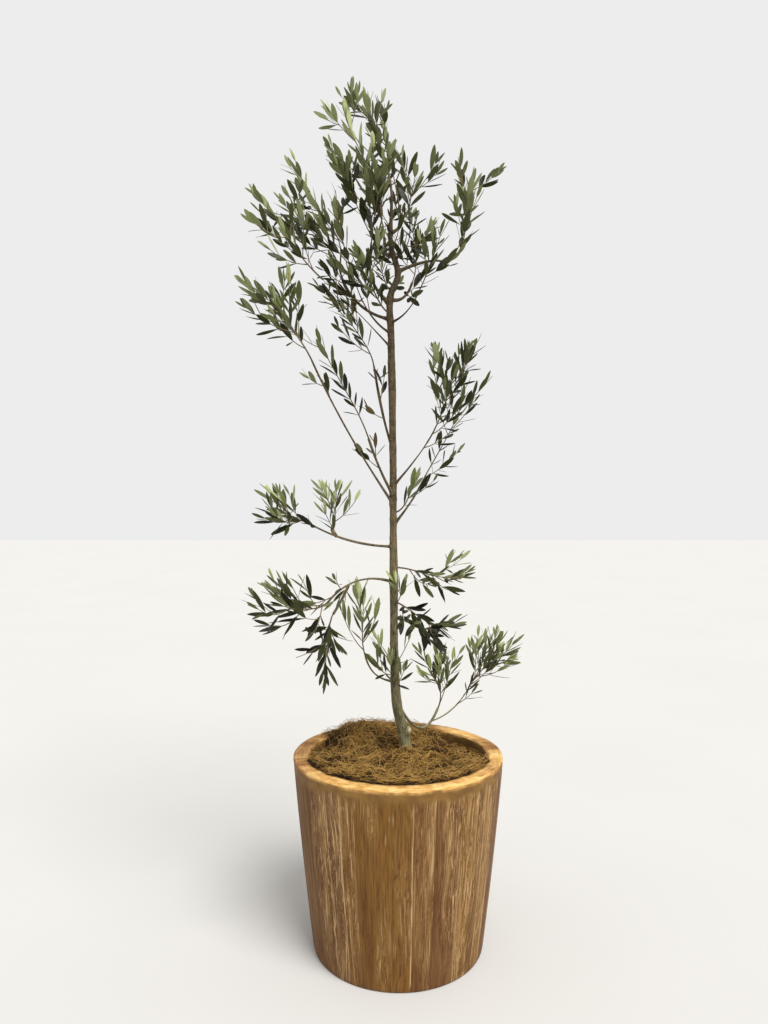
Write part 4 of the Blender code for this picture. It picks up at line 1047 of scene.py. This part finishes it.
growth = {
    "stemParts": 12,
    "shootParts": 7,
    "twigletParts": 4,
    "stemRise": 0.3,
    "stemShare": 0.95,
    "stemBare": 0.22,
    "trunkShootRadius": 0.0018,
    "shootRadius": 0.0011,
    "twigletRadius": 0.0008,
    "tipRadius": 0.0006,
    "limbStep": 0.020,        # between the points of a limb that twigs and leaves keep clear of
    "sides": (7, 5, 5),       # of the tubes for stems, shoots and twiglets
    "sunk": 0.0015,           # how far a twig's foot goes into what it grows from
    "firstNumber": 850,       # of the masses; a mass's number turns its shoots and feeds its random values
    "firstSprig": 200,        # and of the limbs with short shoots
    "finer": {"crown": 1.0, "side": 1.6, "low": 1.8},    # shoots here for each one of the solids
    "shootFrom": 0.06,
    "shootTo": 0.93,
    "shootLean": math.radians(50),
    "shootLeanRange": (0.7, 1.2),
    "shootReach": 1.55,       # of the mass's spread
    "shootReachRange": (0.7, 1.25),
    "shorterTop": 0.40,       # how much shorter the last shoots are
    "shootArch": 0.5,
    "shootBare": 0.20,
    "twigletFrom": 0.25,
    "twigletTo": 0.65,
    "twigletReach": 0.42,     # of the shoot's length
    "twigletRange": (0.7, 1.2),
    "sprigStep": 0.024,       # between short shoots along a bough
    "sprigReach": (0.030, 0.062),
    "sprigLean": math.radians(31),
    "sprigLeanRange": (1.1, 1.9),
    "sprigLeaf": 0.9,         # size of their leaves
    "sprigTo": 0.96,
    "goldenAngle": math.radians(137.5),
    "pairStep": 0.0165,
    "lastPair": 0.94,
    "pairTurn": 0.25,
    "leafTurn": 0.35,
    "leafLeanFoot": math.radians(44),
    "leafLeanTip": math.radians(20),
    "leafLeanRange": (0.7, 1.25),
    "faceLift": 0.35,         # how much the upper sides turn to the sky
    "endPlace": 0.985,        # the pair at a twig's very tip: where, how far it spreads and how large
    "endLean": 0.16,
    "endSize": 0.66,
    "endRange": (0.8, 1.15),
    "pastTip": 0.045,
    "overTop": 0.004,         # how far leaves may stand over that
    "overFlat": 0.85,         # and over a stem that lies flat, as a share of the spread
    "moreLift": {"crown": 1.0, "side": 1.3, "low": 2.3},    # how much more the finer shoots turn up
    "uneven": (0.2, 0.8),     # where in its own stretch of the stem a shoot stands
    "twigClear": 0.001,       # how far twigs keep from other limbs
    "limbClear": 0.0030,      # leaves from other limbs
    "leafClear": 0.0036,      # and leaves from the middle lines of other leaves
    "leafNear": 0.04,         # leaves further off than this aren't looked at
    "mostSpots": 90000,       # room for the points of all middle lines
    "goneLeaves": 0.06,       # share of leaves that have dropped
    "tipRoom": 0.024,         # how far below the mass's top a shoot ends, as its leaves go on from there
    "leastLeaves": 4,         # a shoot that would bear fewer is left out
    "oldShare": 0.42,         # leaves on this first part of a twig are a tint darker
    "youngShare": 0.72,       # and those past this part a tint fresher
    "shade": {"crown": 0.38, "side": 0.30, "low": 0.02},    # painted shade: how much darker a group's leaves are
    "bright": (0.42, 0.38, 0.42),     # what a mass's tone (painted light and shade), a twig's height (younger growth and painted light) and chance add to brightness
    "dryMasses": ("left_inner", "inner_left"),
    "dryShare": 0.11,         # of their twigs have dried leaves
}
# where the short shoots along a limb begin, as a share of its length, and the mass they look like
leafyLimbs = {
    "trunk": (0.86, "top_middle"),
    "top_left": (0.40, "top_left"),
    "top_right": (0.30, "top_right"),
    "right_shoulder": (0.35, "right_shoulder"),
    "crown_front": (0.35, "crown_front"),
    "crown_back": (0.35, "crown_back"),
    "crown_left": (0.40, "crown_left"),
    "back_right": (0.35, "back_right"),
    "right_high": (0.50, "right_high"),
    "right_under": (0.55, "right_under"),
    "left_high": (0.35, "left_high"),
    "left_tall": (0.30, "left_tall"),
    "left_upper": (0.45, "left_upper"),
    "left_middle": (0.72, "left_middle"),
    "left_inner": (0.40, "left_inner"),
    "inner_left": (0.35, "inner_left"),
    "right_middle": (0.70, "right_middle"),
    "right_behind": (0.65, "right_behind"),
    "left_low": (0.62, "left_low"),
    "left_lower": (0.50, "left_lower"),
    "right_outer": (0.45, "right_outer"),
}
blade = {
    "length": {"crown": 0.0425, "side": 0.0400, "low": 0.0440},
    "lengthRange": (0.76, 1.14),
    "youngShare": 0.74,       # the last pair is this much shorter
    "widthShare": {"crown": 0.262, "side": 0.245, "low": 0.215},
    "widthRange": (0.85, 1.15),
    "stations": (0.05, 0.16, 0.32, 0.50, 0.68, 0.85, 0.95),
    "petiole": 0.07,          # share of the length that is stalk
    "petioleWide": 0.10,      # of the full width
    "fullness": 0.74,         # power of the outline: smaller is blunter
    "thick": 0.0004,
    "ribRise": 0.0004,
    "fold": 0.30,             # how steeply the halves rise from the rib
    "curl": (-0.14, 0.14),    # how far the tip bends, as a share of the length
    "twist": 0.30,
    "foldRange": (-0.15, 1.0),
    "foldEase": 0.35,         # how much the fold eases towards the edge
    "edgeRoll": 0.10,
    "seed": 31,
}
# leaf tints: upper side and underside, from the youngest to the darkest, the deep and shade tints being
# painted shade, then dried
leafTints = {
    "leafBud": ("#8d955c", "#a6ab7c"),
    "leafFresh": ("#5f673a", "#898f66"),
    "leafMature": ("#3c4120", "#6a6f4a"),
    "leafDeepShade": ("#262912", "#494d2f"),
    "leafShade": ("#151708", "#30331b"),
    "leafDry": ("#4a4024", "#5e5434"),
}
twigTints = {"twigBrown": "#55432e", "twigTan": "#6f5d40", "twigGreen": "#6d6c48"}


def leafFinishes():
    # Olive leaves: leathery with a waxy upper side that is half glossy, and an underside felted
    # with silvery scales that is dull and paler
    finishes = []
    for name, (upper, under) in leafTints.items():
        waxy = {"Base Color": linear(upper), "Roughness": 0.45, "Specular IOR Level": 0.18}
        felted = {"Base Color": linear(under), "Roughness": 0.8, "Specular IOR Level": 0.08}
        finishes.append(newMaterial(name + "Upper", waxy)[0])
        finishes.append(newMaterial(name + "Under", felted)[0])
    return finishes


def twigFinishes():
    # Twigs of one to three seasons: brown and dry, then tan, then grey-green skin
    return [newMaterial(name, {"Base Color": linear(tint), "Roughness": 0.75})[0]
            for name, tint in twigTints.items()]


def nearestOn(limb, spots):
    # distance from each spot to the limb's surface, by the nearest point of every straight part
    points, radii = limb
    start = points[:-1]
    run = points[1:] - start
    t = np.clip(((spots[:, None] - start) * run).sum(-1) / (run ** 2).sum(1), 0, 1)
    away = np.linalg.norm(start + t[..., None] * run - spots[:, None], axis=-1)
    return (away - (radii[:-1] + t * np.diff(radii))).min(axis=1)


def stemLimb(start, way, tip, radius):
    # cubic that leaves along the limb's direction and ends leaning a little upwards
    tip = np.array(tip)
    chord = np.linalg.norm(tip - start)
    endWay = unit(unit(tip - start) + np.array((0, 0, growth["stemRise"])))
    t = np.linspace(0, 1, growth["stemParts"] + 1)[:, None]
    points = ((2 * t ** 3 - 3 * t ** 2 + 1) * start + (t ** 3 - 2 * t ** 2 + t) * way * chord
              + (3 * t ** 2 - 2 * t ** 3) * tip + (t ** 3 - t ** 2) * endWay * chord)
    return points, np.linspace(radius, growth["tipRadius"], len(points))


def shootLimb(carrier, share, turn, lean, length, lift, parts, radius):
    # straight out at the lean, plus the square of the way along times the lift
    start, way, _ = alongLimb(carrier, share)
    first, second = squareTo(way)
    out = math.cos(lean) * way + math.sin(lean) * (math.cos(turn) * first + math.sin(turn) * second)
    t = np.linspace(0, 1, parts + 1)[:, None]
    points = start + length * (t * out + lift * t ** 2 * np.array((0, 0, growth["shootArch"])))
    return points, np.linspace(radius, growth["tipRadius"], parts + 1)


def leafPairs(twig, bare, scale, rng):
    # opposite pairs, each a quarter turn from the last, leaning less towards the twig's tip;
    # gives root, direction, upper side's direction, length share and age: -1 young, 0, or 1 old
    run = limbLength(twig)
    count = int(run * (growth["lastPair"] - bare) / growth["pairStep"])
    turn = rng.uniform(0, math.pi)
    found = []
    for k in range(count + 1):
        share = growth["lastPair"] - (count - k) * growth["pairStep"] / run
        point, way, radius = alongLimb(twig, max(share, 0.02))
        first, second = squareTo(way)
        last = k == count
        towardsTip = (k + 1) / (count + 1)
        for half in range(2):
            angle = turn + half * math.pi + rng.uniform(-1, 1) * growth["leafTurn"]
            lean = growth["leafLeanFoot"] + (growth["leafLeanTip"] - growth["leafLeanFoot"]) * towardsTip
            lean *= rng.uniform(*growth["leafLeanRange"])
            out = math.cos(angle) * first + math.sin(angle) * second
            leafWay = unit(math.cos(lean) * way + math.sin(lean) * out)
            faceWay = way + growth["faceLift"] * np.array((0, 0, 1.0))
            face = unit(faceWay - leafWay * np.dot(faceWay, leafWay))
            size = scale * rng.uniform(*blade["lengthRange"]) * (blade["youngShare"] if last else 1.0)
            if rng.random() > growth["goneLeaves"]:
                age = (towardsTip < growth["oldShare"]) - (towardsTip > growth["youngShare"])
                found.append((point + 0.6 * radius * out, leafWay, face, size, int(age)))
        turn += math.pi / 2 + rng.uniform(-1, 1) * growth["pairTurn"]
    point, way, _ = alongLimb(twig, growth["endPlace"])
    first, second = squareTo(way)
    for half in range(2):
        out = math.cos(turn + half * math.pi) * first + math.sin(turn + half * math.pi) * second
        leafWay = unit(way + growth["endLean"] * out)
        face = unit(-out - leafWay * np.dot(-out, leafWay))
        size = growth["endSize"] * scale * rng.uniform(*growth["endRange"])
        found.append((point, leafWay, face, size, -1))
    return found


def roofOf(line, spread):
    # nothing stands higher than this: just over an upright stem's end, more over a flat one
    steep = unit(line[0][-1] - line[0][0])[2]
    return line[0][:, 2].max() + growth["overTop"] + growth["overFlat"] * spread * max(0, 1 - steep) ** 0.7


class Crown:
    # everything grown so far: twigs with their kind, and leaves with their tint
    def __init__(self, limbs):
        self.limbs = limbs
        self.twigs = []
        self.leaves = {"crown": [], "side": [], "low": []}
        self.taken = np.zeros((growth["mostSpots"], 3))
        self.count = 0

    def clearOfLimbs(self, spots, skip, gap):
        # which spots keep away from the trunk and every bough but the one named
        clear = np.ones(len(spots), bool)
        for name, limb in self.limbs.items():
            if name != skip:
                clear &= nearestOn(limb, spots) > gap
        return clear

    def addTwig(self, twig, kind, found, line, spread, tint, group, carrier):
        # a twig is kept with those of its leaves that find room, and left out if they are too few
        leafCount, spotCount = len(self.leaves[group]), self.count
        self.addLeaves(found, line, spread, tint, group, carrier)
        if len(self.leaves[group]) - leafCount >= growth["leastLeaves"]:
            self.twigs.append((twig, kind))
            return True
        del self.leaves[group][leafCount:]
        self.count = spotCount
        return False

    def addLeaves(self, found, line, spread, tint, group, carrier):
        # a leaf is kept where it stays in the mass's space and clear of limbs and other leaves
        along = np.linspace(0.30, 1.0, 6)
        top = roofOf(line, spread)
        for root, way, face, size, age in found:
            for shorter in (1.0, 0.8):
                length = blade["length"][group] * size * shorter
                spots = root + along[:, None] * length * way
                if nearestOn(line, spots[-1:])[0] > spread or spots[-1][2] > top:
                    continue
                if not self.clearOfLimbs(spots, carrier, growth["limbClear"]).all():
                    continue
                near = self.taken[:self.count]
                near = near[np.abs(near - spots.mean(axis=0)).max(axis=1) < growth["leafNear"]]
                gaps = np.linalg.norm(near[:, None] - spots, axis=-1)
                if len(near) and gaps.min() < growth["leafClear"]:
                    continue
                self.taken[self.count:self.count + len(spots)] = spots
                self.count += len(spots)
                dried = len(leafTints) - 1
                number = tint if tint == dried else min(max(0, tint + age), dried - 1)
                self.leaves[group].append((root, way, face, length, number))
                break


def tintOf(rise, tone, group, dry, rng):
    # paler tints for twigs that end high in their mass, partly younger growth and partly painted light;
    # lighter or darker by the mass's tone and the group's painted shade, and by chance
    ends = len(leafTints) - 2
    if rng.random() < dry:
        return ends + 1
    byTone, byRise, byChance = growth["bright"]
    bright = byTone * tone + byRise * min(1.0, rise) + byChance * rng.random() - growth["shade"][group]
    return int(np.clip(round(ends * (1 - bright)), 0, ends))


def dryShare(name):
    # share of a mass's twigs whose leaves have dried
    return growth["dryShare"] if name in growth["dryMasses"] else 0.0


def growMass(name, number, crown):
    # the solid's stem, its shoots, more of them at the sides and low down, and a twiglet on each
    base, height, tip, spread, shoots, lift, tone, group = masses[name]
    rng = random.Random(number)
    limb = crown.limbs[base]
    if height is None:
        start, way, radius = alongLimb(limb, 1.0)
    else:
        start, _, _ = alongLimb(limb, shareAtHeight(limb, height))
        way = unit((tip[0] - start[0], tip[1] - start[1], 0))
        radius = growth["trunkShootRadius"] / growth["stemShare"]
    stem = stemLimb(start, way, tip, growth["stemShare"] * radius)
    past = stem[0][-1] + growth["pastTip"] * unit(stem[0][-1] - stem[0][-2])
    line = (np.vstack([stem[0], past]), np.zeros(len(stem[0]) + 1))
    crown.twigs.append((stem, 0))
    dry = dryShare(name)
    lift = lift * growth["moreLift"][group]
    roof = roofOf(line, spread) - growth["tipRoom"]

    def riseOf(twig):
        # how high the twig's tip is between the mass's foot and tip
        return (twig[0][-1][2] - start[2]) / max(0.05, tip[2] - start[2])

    tint = tintOf(riseOf(stem), tone, group, dry, rng)
    crown.addLeaves(leafPairs(stem, growth["stemBare"], 1.0, rng), line, spread, tint, group, base)
    many = round(shoots * growth["finer"][group])
    shootParts, shootRadius = growth["shootParts"], growth["shootRadius"]
    for k in range(many):
        part = (k + rng.uniform(*growth["uneven"])) / many
        share = growth["shootFrom"] + (growth["shootTo"] - growth["shootFrom"]) * part
        lean = growth["shootLean"] * rng.uniform(*growth["shootLeanRange"])
        length = growth["shootReach"] * spread * rng.uniform(*growth["shootReachRange"])
        length *= 1 - growth["shorterTop"] * share ** 2
        turn = k * growth["goldenAngle"] + number
        shoot = shootLimb(stem, share, turn, lean, length, lift, shootParts, shootRadius)
        top, foot = shoot[0][-1][2], shoot[0][0][2]
        if top > roof:
            length *= max(0.3, (roof - foot) / (top - foot))
            shoot = shootLimb(stem, share, turn, lean, length, lift, shootParts, shootRadius)
        if nearestOn(line, shoot[0][-1:])[0] > spread:
            continue
        if not crown.clearOfLimbs(shoot[0][2:], base, growth["twigClear"]).all():
            continue
        tint = tintOf(riseOf(shoot), tone, group, dry, rng)
        found = leafPairs(shoot, growth["shootBare"], 1.0, rng)
        if not crown.addTwig(shoot, 1, found, line, spread, tint, group, base):
            continue
        share = rng.uniform(growth["twigletFrom"], growth["twigletTo"])
        reach = growth["twigletReach"] * length * rng.uniform(*growth["twigletRange"])
        sprig = shootLimb(shoot, share, rng.uniform(0, math.tau), lean, reach, lift,
                          growth["twigletParts"], growth["twigletRadius"])
        if nearestOn(line, sprig[0][-1:])[0] > spread:
            continue
        if not crown.clearOfLimbs(sprig[0][1:], base, growth["twigClear"]).all():
            continue
        found = leafPairs(sprig, growth["shootBare"], 1.0, rng)
        crown.addTwig(sprig, 2, found, line, spread, tint, group, base)


def growSprigs(name, number, crown):
    # short shoots set round a bough by the golden angle, up to where its mass begins
    shareFrom, like = leafyLimbs[name]
    rng = random.Random(number)
    spread, lift, tone, group = masses[like][3], masses[like][5], masses[like][6], masses[like][7]
    limb = crown.limbs[name]
    many = max(1, round(limbLength(limb) * (growth["sprigTo"] - shareFrom) / growth["sprigStep"]))
    for k in range(many):
        part = (k + rng.uniform(*growth["uneven"])) / many
        share = shareFrom + (growth["sprigTo"] - shareFrom) * part
        turn = number + k * growth["goldenAngle"]
        lean = growth["sprigLean"] * rng.uniform(*growth["sprigLeanRange"])
        reach = rng.uniform(*growth["sprigReach"])
        sprig = shootLimb(limb, share, turn, lean, reach, max(0.3, lift),
                          growth["twigletParts"], growth["shootRadius"])
        if not crown.clearOfLimbs(sprig[0][1:], name, growth["twigClear"]).all():
            continue
        tint = tintOf(rng.uniform(0.0, 0.6), tone, group, dryShare(like), rng)
        found = leafPairs(sprig, growth["shootBare"], growth["sprigLeaf"], rng)
        crown.addTwig(sprig, 1, found, limb, spread, tint, group, name)


def makeTwigs(crown):
    # a tube for each twig, its foot sunk a little into what it grows from
    finishes = twigFinishes()
    allPoints, allPoles, allQuads, poleTints, quadTints = [], [], [], [], []
    total = 0
    for (points, radii), kind in crown.twigs:
        sides = growth["sides"][kind]
        sunk = points.copy()
        sunk[0] = points[0] - growth["sunk"] * unit(points[1] - points[0])
        grid, _ = tubeGrid((sunk, radii), sides)
        body = np.concatenate([grid.reshape(-1, 3), sunk[:1], sunk[-1:]])
        poles, quads = poleFaces(len(sunk), sides), gridFaces(len(sunk), sides)
        allPoints.append(body)
        allPoles.append(poles + total)
        allQuads.append(quads + total)
        poleTints.append(np.full(len(poles), kind))
        quadTints.append(np.full(len(quads), kind))
        total += len(body)
    faces = [np.concatenate(allPoles), np.concatenate(allQuads)]
    tints = np.concatenate(poleTints + quadTints)
    piece = newPiece("twigs", np.concatenate(allPoints), faces, finishes, tints=tints, crease=180)
    place(piece, "olive_bark", [f"foliage_{name}" for name in masses])


def leafBodies(leaves, widthShare, rng):
    # Across: five points from edge to edge on the upper side and one rib below. Half width is
    # the full one times 4s(1 - s) to a power, s being the share past the stalk. The halves
    # rise from the rib by the fold and roll down at the edge, the tip bends by the curl times
    # the square of the way along, and the whole twists evenly from stalk to tip.
    count = len(leaves)
    root = np.array([leaf[0] for leaf in leaves])[:, None, None]
    way = np.array([leaf[1] for leaf in leaves])[:, None, None]
    face = np.array([leaf[2] for leaf in leaves])[:, None, None]
    length = np.array([leaf[3] for leaf in leaves])[:, None, None]
    side = np.cross(way, face)
    u = np.array(blade["stations"])[None, :, None]
    across = np.array((-1.0, -0.5, 0.0, 0.5, 1.0, 0.0))[None, None, :]
    s = np.clip((u - blade["petiole"]) / (1 - blade["petiole"]), 0, 1)
    outline = np.maximum((4 * s * (1 - s)) ** blade["fullness"], blade["petioleWide"] * (1 - u))
    wide = 0.5 * widthShare * rng.uniform(*blade["widthRange"], (count, 1, 1)) * length * outline
    fold = blade["fold"] * rng.uniform(*blade["foldRange"], (count, 1, 1))
    lateral = wide * across
    rise = fold * np.abs(lateral) * (1 - blade["foldEase"] * across ** 2)
    rise = rise - blade["edgeRoll"] * wide * across ** 4
    below = np.array((0, 0, 0, 0, 0, 1.0))[None, None, :]
    rise = rise - below * (blade["thick"] + blade["ribRise"] * (1 - u))
    curl = rng.uniform(*blade["curl"], (count, 1, 1))
    turn = blade["twist"] * rng.normal(0, 1, (count, 1, 1)) * u
    cosine, sine = np.cos(turn), np.sin(turn)
    lateral, rise = lateral * cosine - rise * sine, lateral * sine + rise * cosine
    rise = rise + curl * length * u ** 2
    body = root + (u * length)[..., None] * way + lateral[..., None] * side + rise[..., None] * face
    tip = root[:, 0, 0] + length[:, 0] * way[:, 0, 0] + (curl * length)[:, 0] * face[:, 0, 0]
    points = np.concatenate([body.reshape(count, -1, 3), root[:, 0], tip[:, None]], axis=1)
    return points.reshape(-1, 3)


def leafFaces(count, tints):
    # the quads and end triangles of one leaf, repeated with each leaf's first point added
    stations = len(blade["stations"])
    row = np.arange(stations - 1)[:, None] * 6
    upper = np.arange(4)[None, :]
    first = row + upper
    upperQuads = np.stack([first, first + 1, first + 7, first + 6], -1)
    under = np.array([[0, 5], [5, 4]])
    near, far = row + under[:, 0], row + under[:, 1]
    underQuads = np.stack([far, near, near + 6, far + 6], -1)
    stalk, tip, last = stations * 6, stations * 6 + 1, (stations - 1) * 6
    upperEnds = [[stalk, k + 1, k] for k in range(4)] + [[last + k, last + k + 1, tip] for k in range(4)]
    underEnds = [[stalk, a, b] for a, b in under] + [[last + b, last + a, tip] for a, b in under]
    quads = np.concatenate([upperQuads.reshape(-1, 4), underQuads.reshape(-1, 4)])
    ends = np.array(upperEnds + underEnds)
    quadSide = np.repeat([0, 1], [upperQuads.size // 4, underQuads.size // 4])
    endSide = np.repeat([0, 1], [len(upperEnds), len(underEnds)])
    offsets = (np.arange(count) * (stations * 6 + 2))[:, None, None]
    faces = [(ends + offsets).reshape(-1, 3), (quads + offsets).reshape(-1, 4)]
    finish = [(2 * tints[:, None] + sides).ravel() for sides in (endSide, quadSide)]
    return faces, np.concatenate(finish)


def makeLeaves(crown):
    # one piece for each group of leaves
    rng = np.random.default_rng(blade["seed"])
    finishes = leafFinishes()
    for group, leaves in crown.leaves.items():
        tints = np.array([leaf[4] for leaf in leaves])
        faces, finish = leafFaces(len(leaves), tints)
        points = leafBodies(leaves, blade["widthShare"][group], rng)
        piece = newPiece(f"leaves_{group}", points, faces, finishes, tints=finish, crease=50)
        print(group, "leaves:", len(leaves))
        place(piece, "olive_leaf", [f"foliage_{name}" for name in masses if masses[name][-1] == group])


crown = Crown(buildLimbs(growth["limbStep"]))
for number, name in enumerate(masses, start=growth["firstNumber"]):
    growMass(name, number, crown)
for number, name in enumerate(leafyLimbs, start=growth["firstSprig"]):
    growSprigs(name, number, crown)
print("crown grown,", len(crown.twigs), "twigs")
makeTwigs(crown)
makeLeaves(crown)
print("foliage done")


# Floor, light and camera

studio = {
    "floorHalf": 20.0,
    "floorTints": ("#bcbab6", "#bebcb8"),
    "sky": "#ffffff",
    "skyStrength": 0.62,
    "keyPlace": (1.36, -2.06, 3.2),     # the direction that the key light comes from
    "keyAngle": math.radians(32),       # how wide it looks, which softens the shadows
    "keyStrength": 2.8,
    "exposure": 0.45,
    "eye": (-0.027, -1.414, 0.823),     # level, looking along +Y
    "lens": 25.8,
    "sensor": 36.0,
}


def makeFloor():
    # a pale, faintly mottled floor, wide enough to fill the picture
    half = studio["floorHalf"]
    corners = np.array([[-half, -half, 0], [half, -half, 0], [half, half, 0], [-half, half, 0]])
    made, tree, shader = newMaterial("paleFloor", {"Roughness": 0.9, "Specular IOR Level": 0.1})
    spot = addNode(tree, "ShaderNodeTexCoord").outputs["Object"]
    mottle = addNode(tree, "ShaderNodeTexNoise", None, {"Vector": spot, "Scale": 1.5, "Detail": 3})
    stops = list(zip((0.3, 0.7), studio["floorTints"]))
    tone = addNode(tree, "ShaderNodeValToRGB", {"stops": stops}, {0: mottle.outputs[0]})
    tree.links.new(tone.outputs[0], shader.inputs["Base Color"])
    floor = newPiece("floor", corners, [np.array([[0, 1, 2, 3]])], [made])


def makeLight():
    # an even white sky and one soft key light that shines from its place towards the origin
    world = bpy.data.worlds.new("studioSky")
    world.use_nodes = True
    sky = world.node_tree.nodes["Background"]
    sky.inputs["Color"].default_value = linear(studio["sky"])
    sky.inputs["Strength"].default_value = studio["skyStrength"]
    bpy.context.scene.world = world
    lamp = bpy.data.lights.new("softKey", "SUN")
    lamp.angle = studio["keyAngle"]
    lamp.energy = studio["keyStrength"]
    key = bpy.data.objects.new("softKey", lamp)
    key.location = studio["keyPlace"]
    aim = -np.array(studio["keyPlace"])
    tilt = math.atan2(math.hypot(aim[0], aim[1]), -aim[2])
    key.rotation_euler = (tilt, 0, math.atan2(aim[1], aim[0]) - math.pi / 2)
    bpy.context.scene.collection.objects.link(key)


def makeCamera():
    # a level camera where the photograph's was, as worked out from the planter's rim and foot
    lens = bpy.data.cameras.new("eye")
    lens.lens = studio["lens"]
    lens.sensor_width = studio["sensor"]
    eye = bpy.data.objects.new("eye", lens)
    eye.location = studio["eye"]
    eye.rotation_euler = (math.pi / 2, 0, 0)
    bpy.context.scene.collection.objects.link(eye)
    bpy.context.scene.camera = eye


makeFloor()
makeLight()
makeCamera()
bpy.context.scene.view_settings.view_transform = "Standard"
bpy.context.scene.view_settings.exposure = studio["exposure"]
print("studio done")
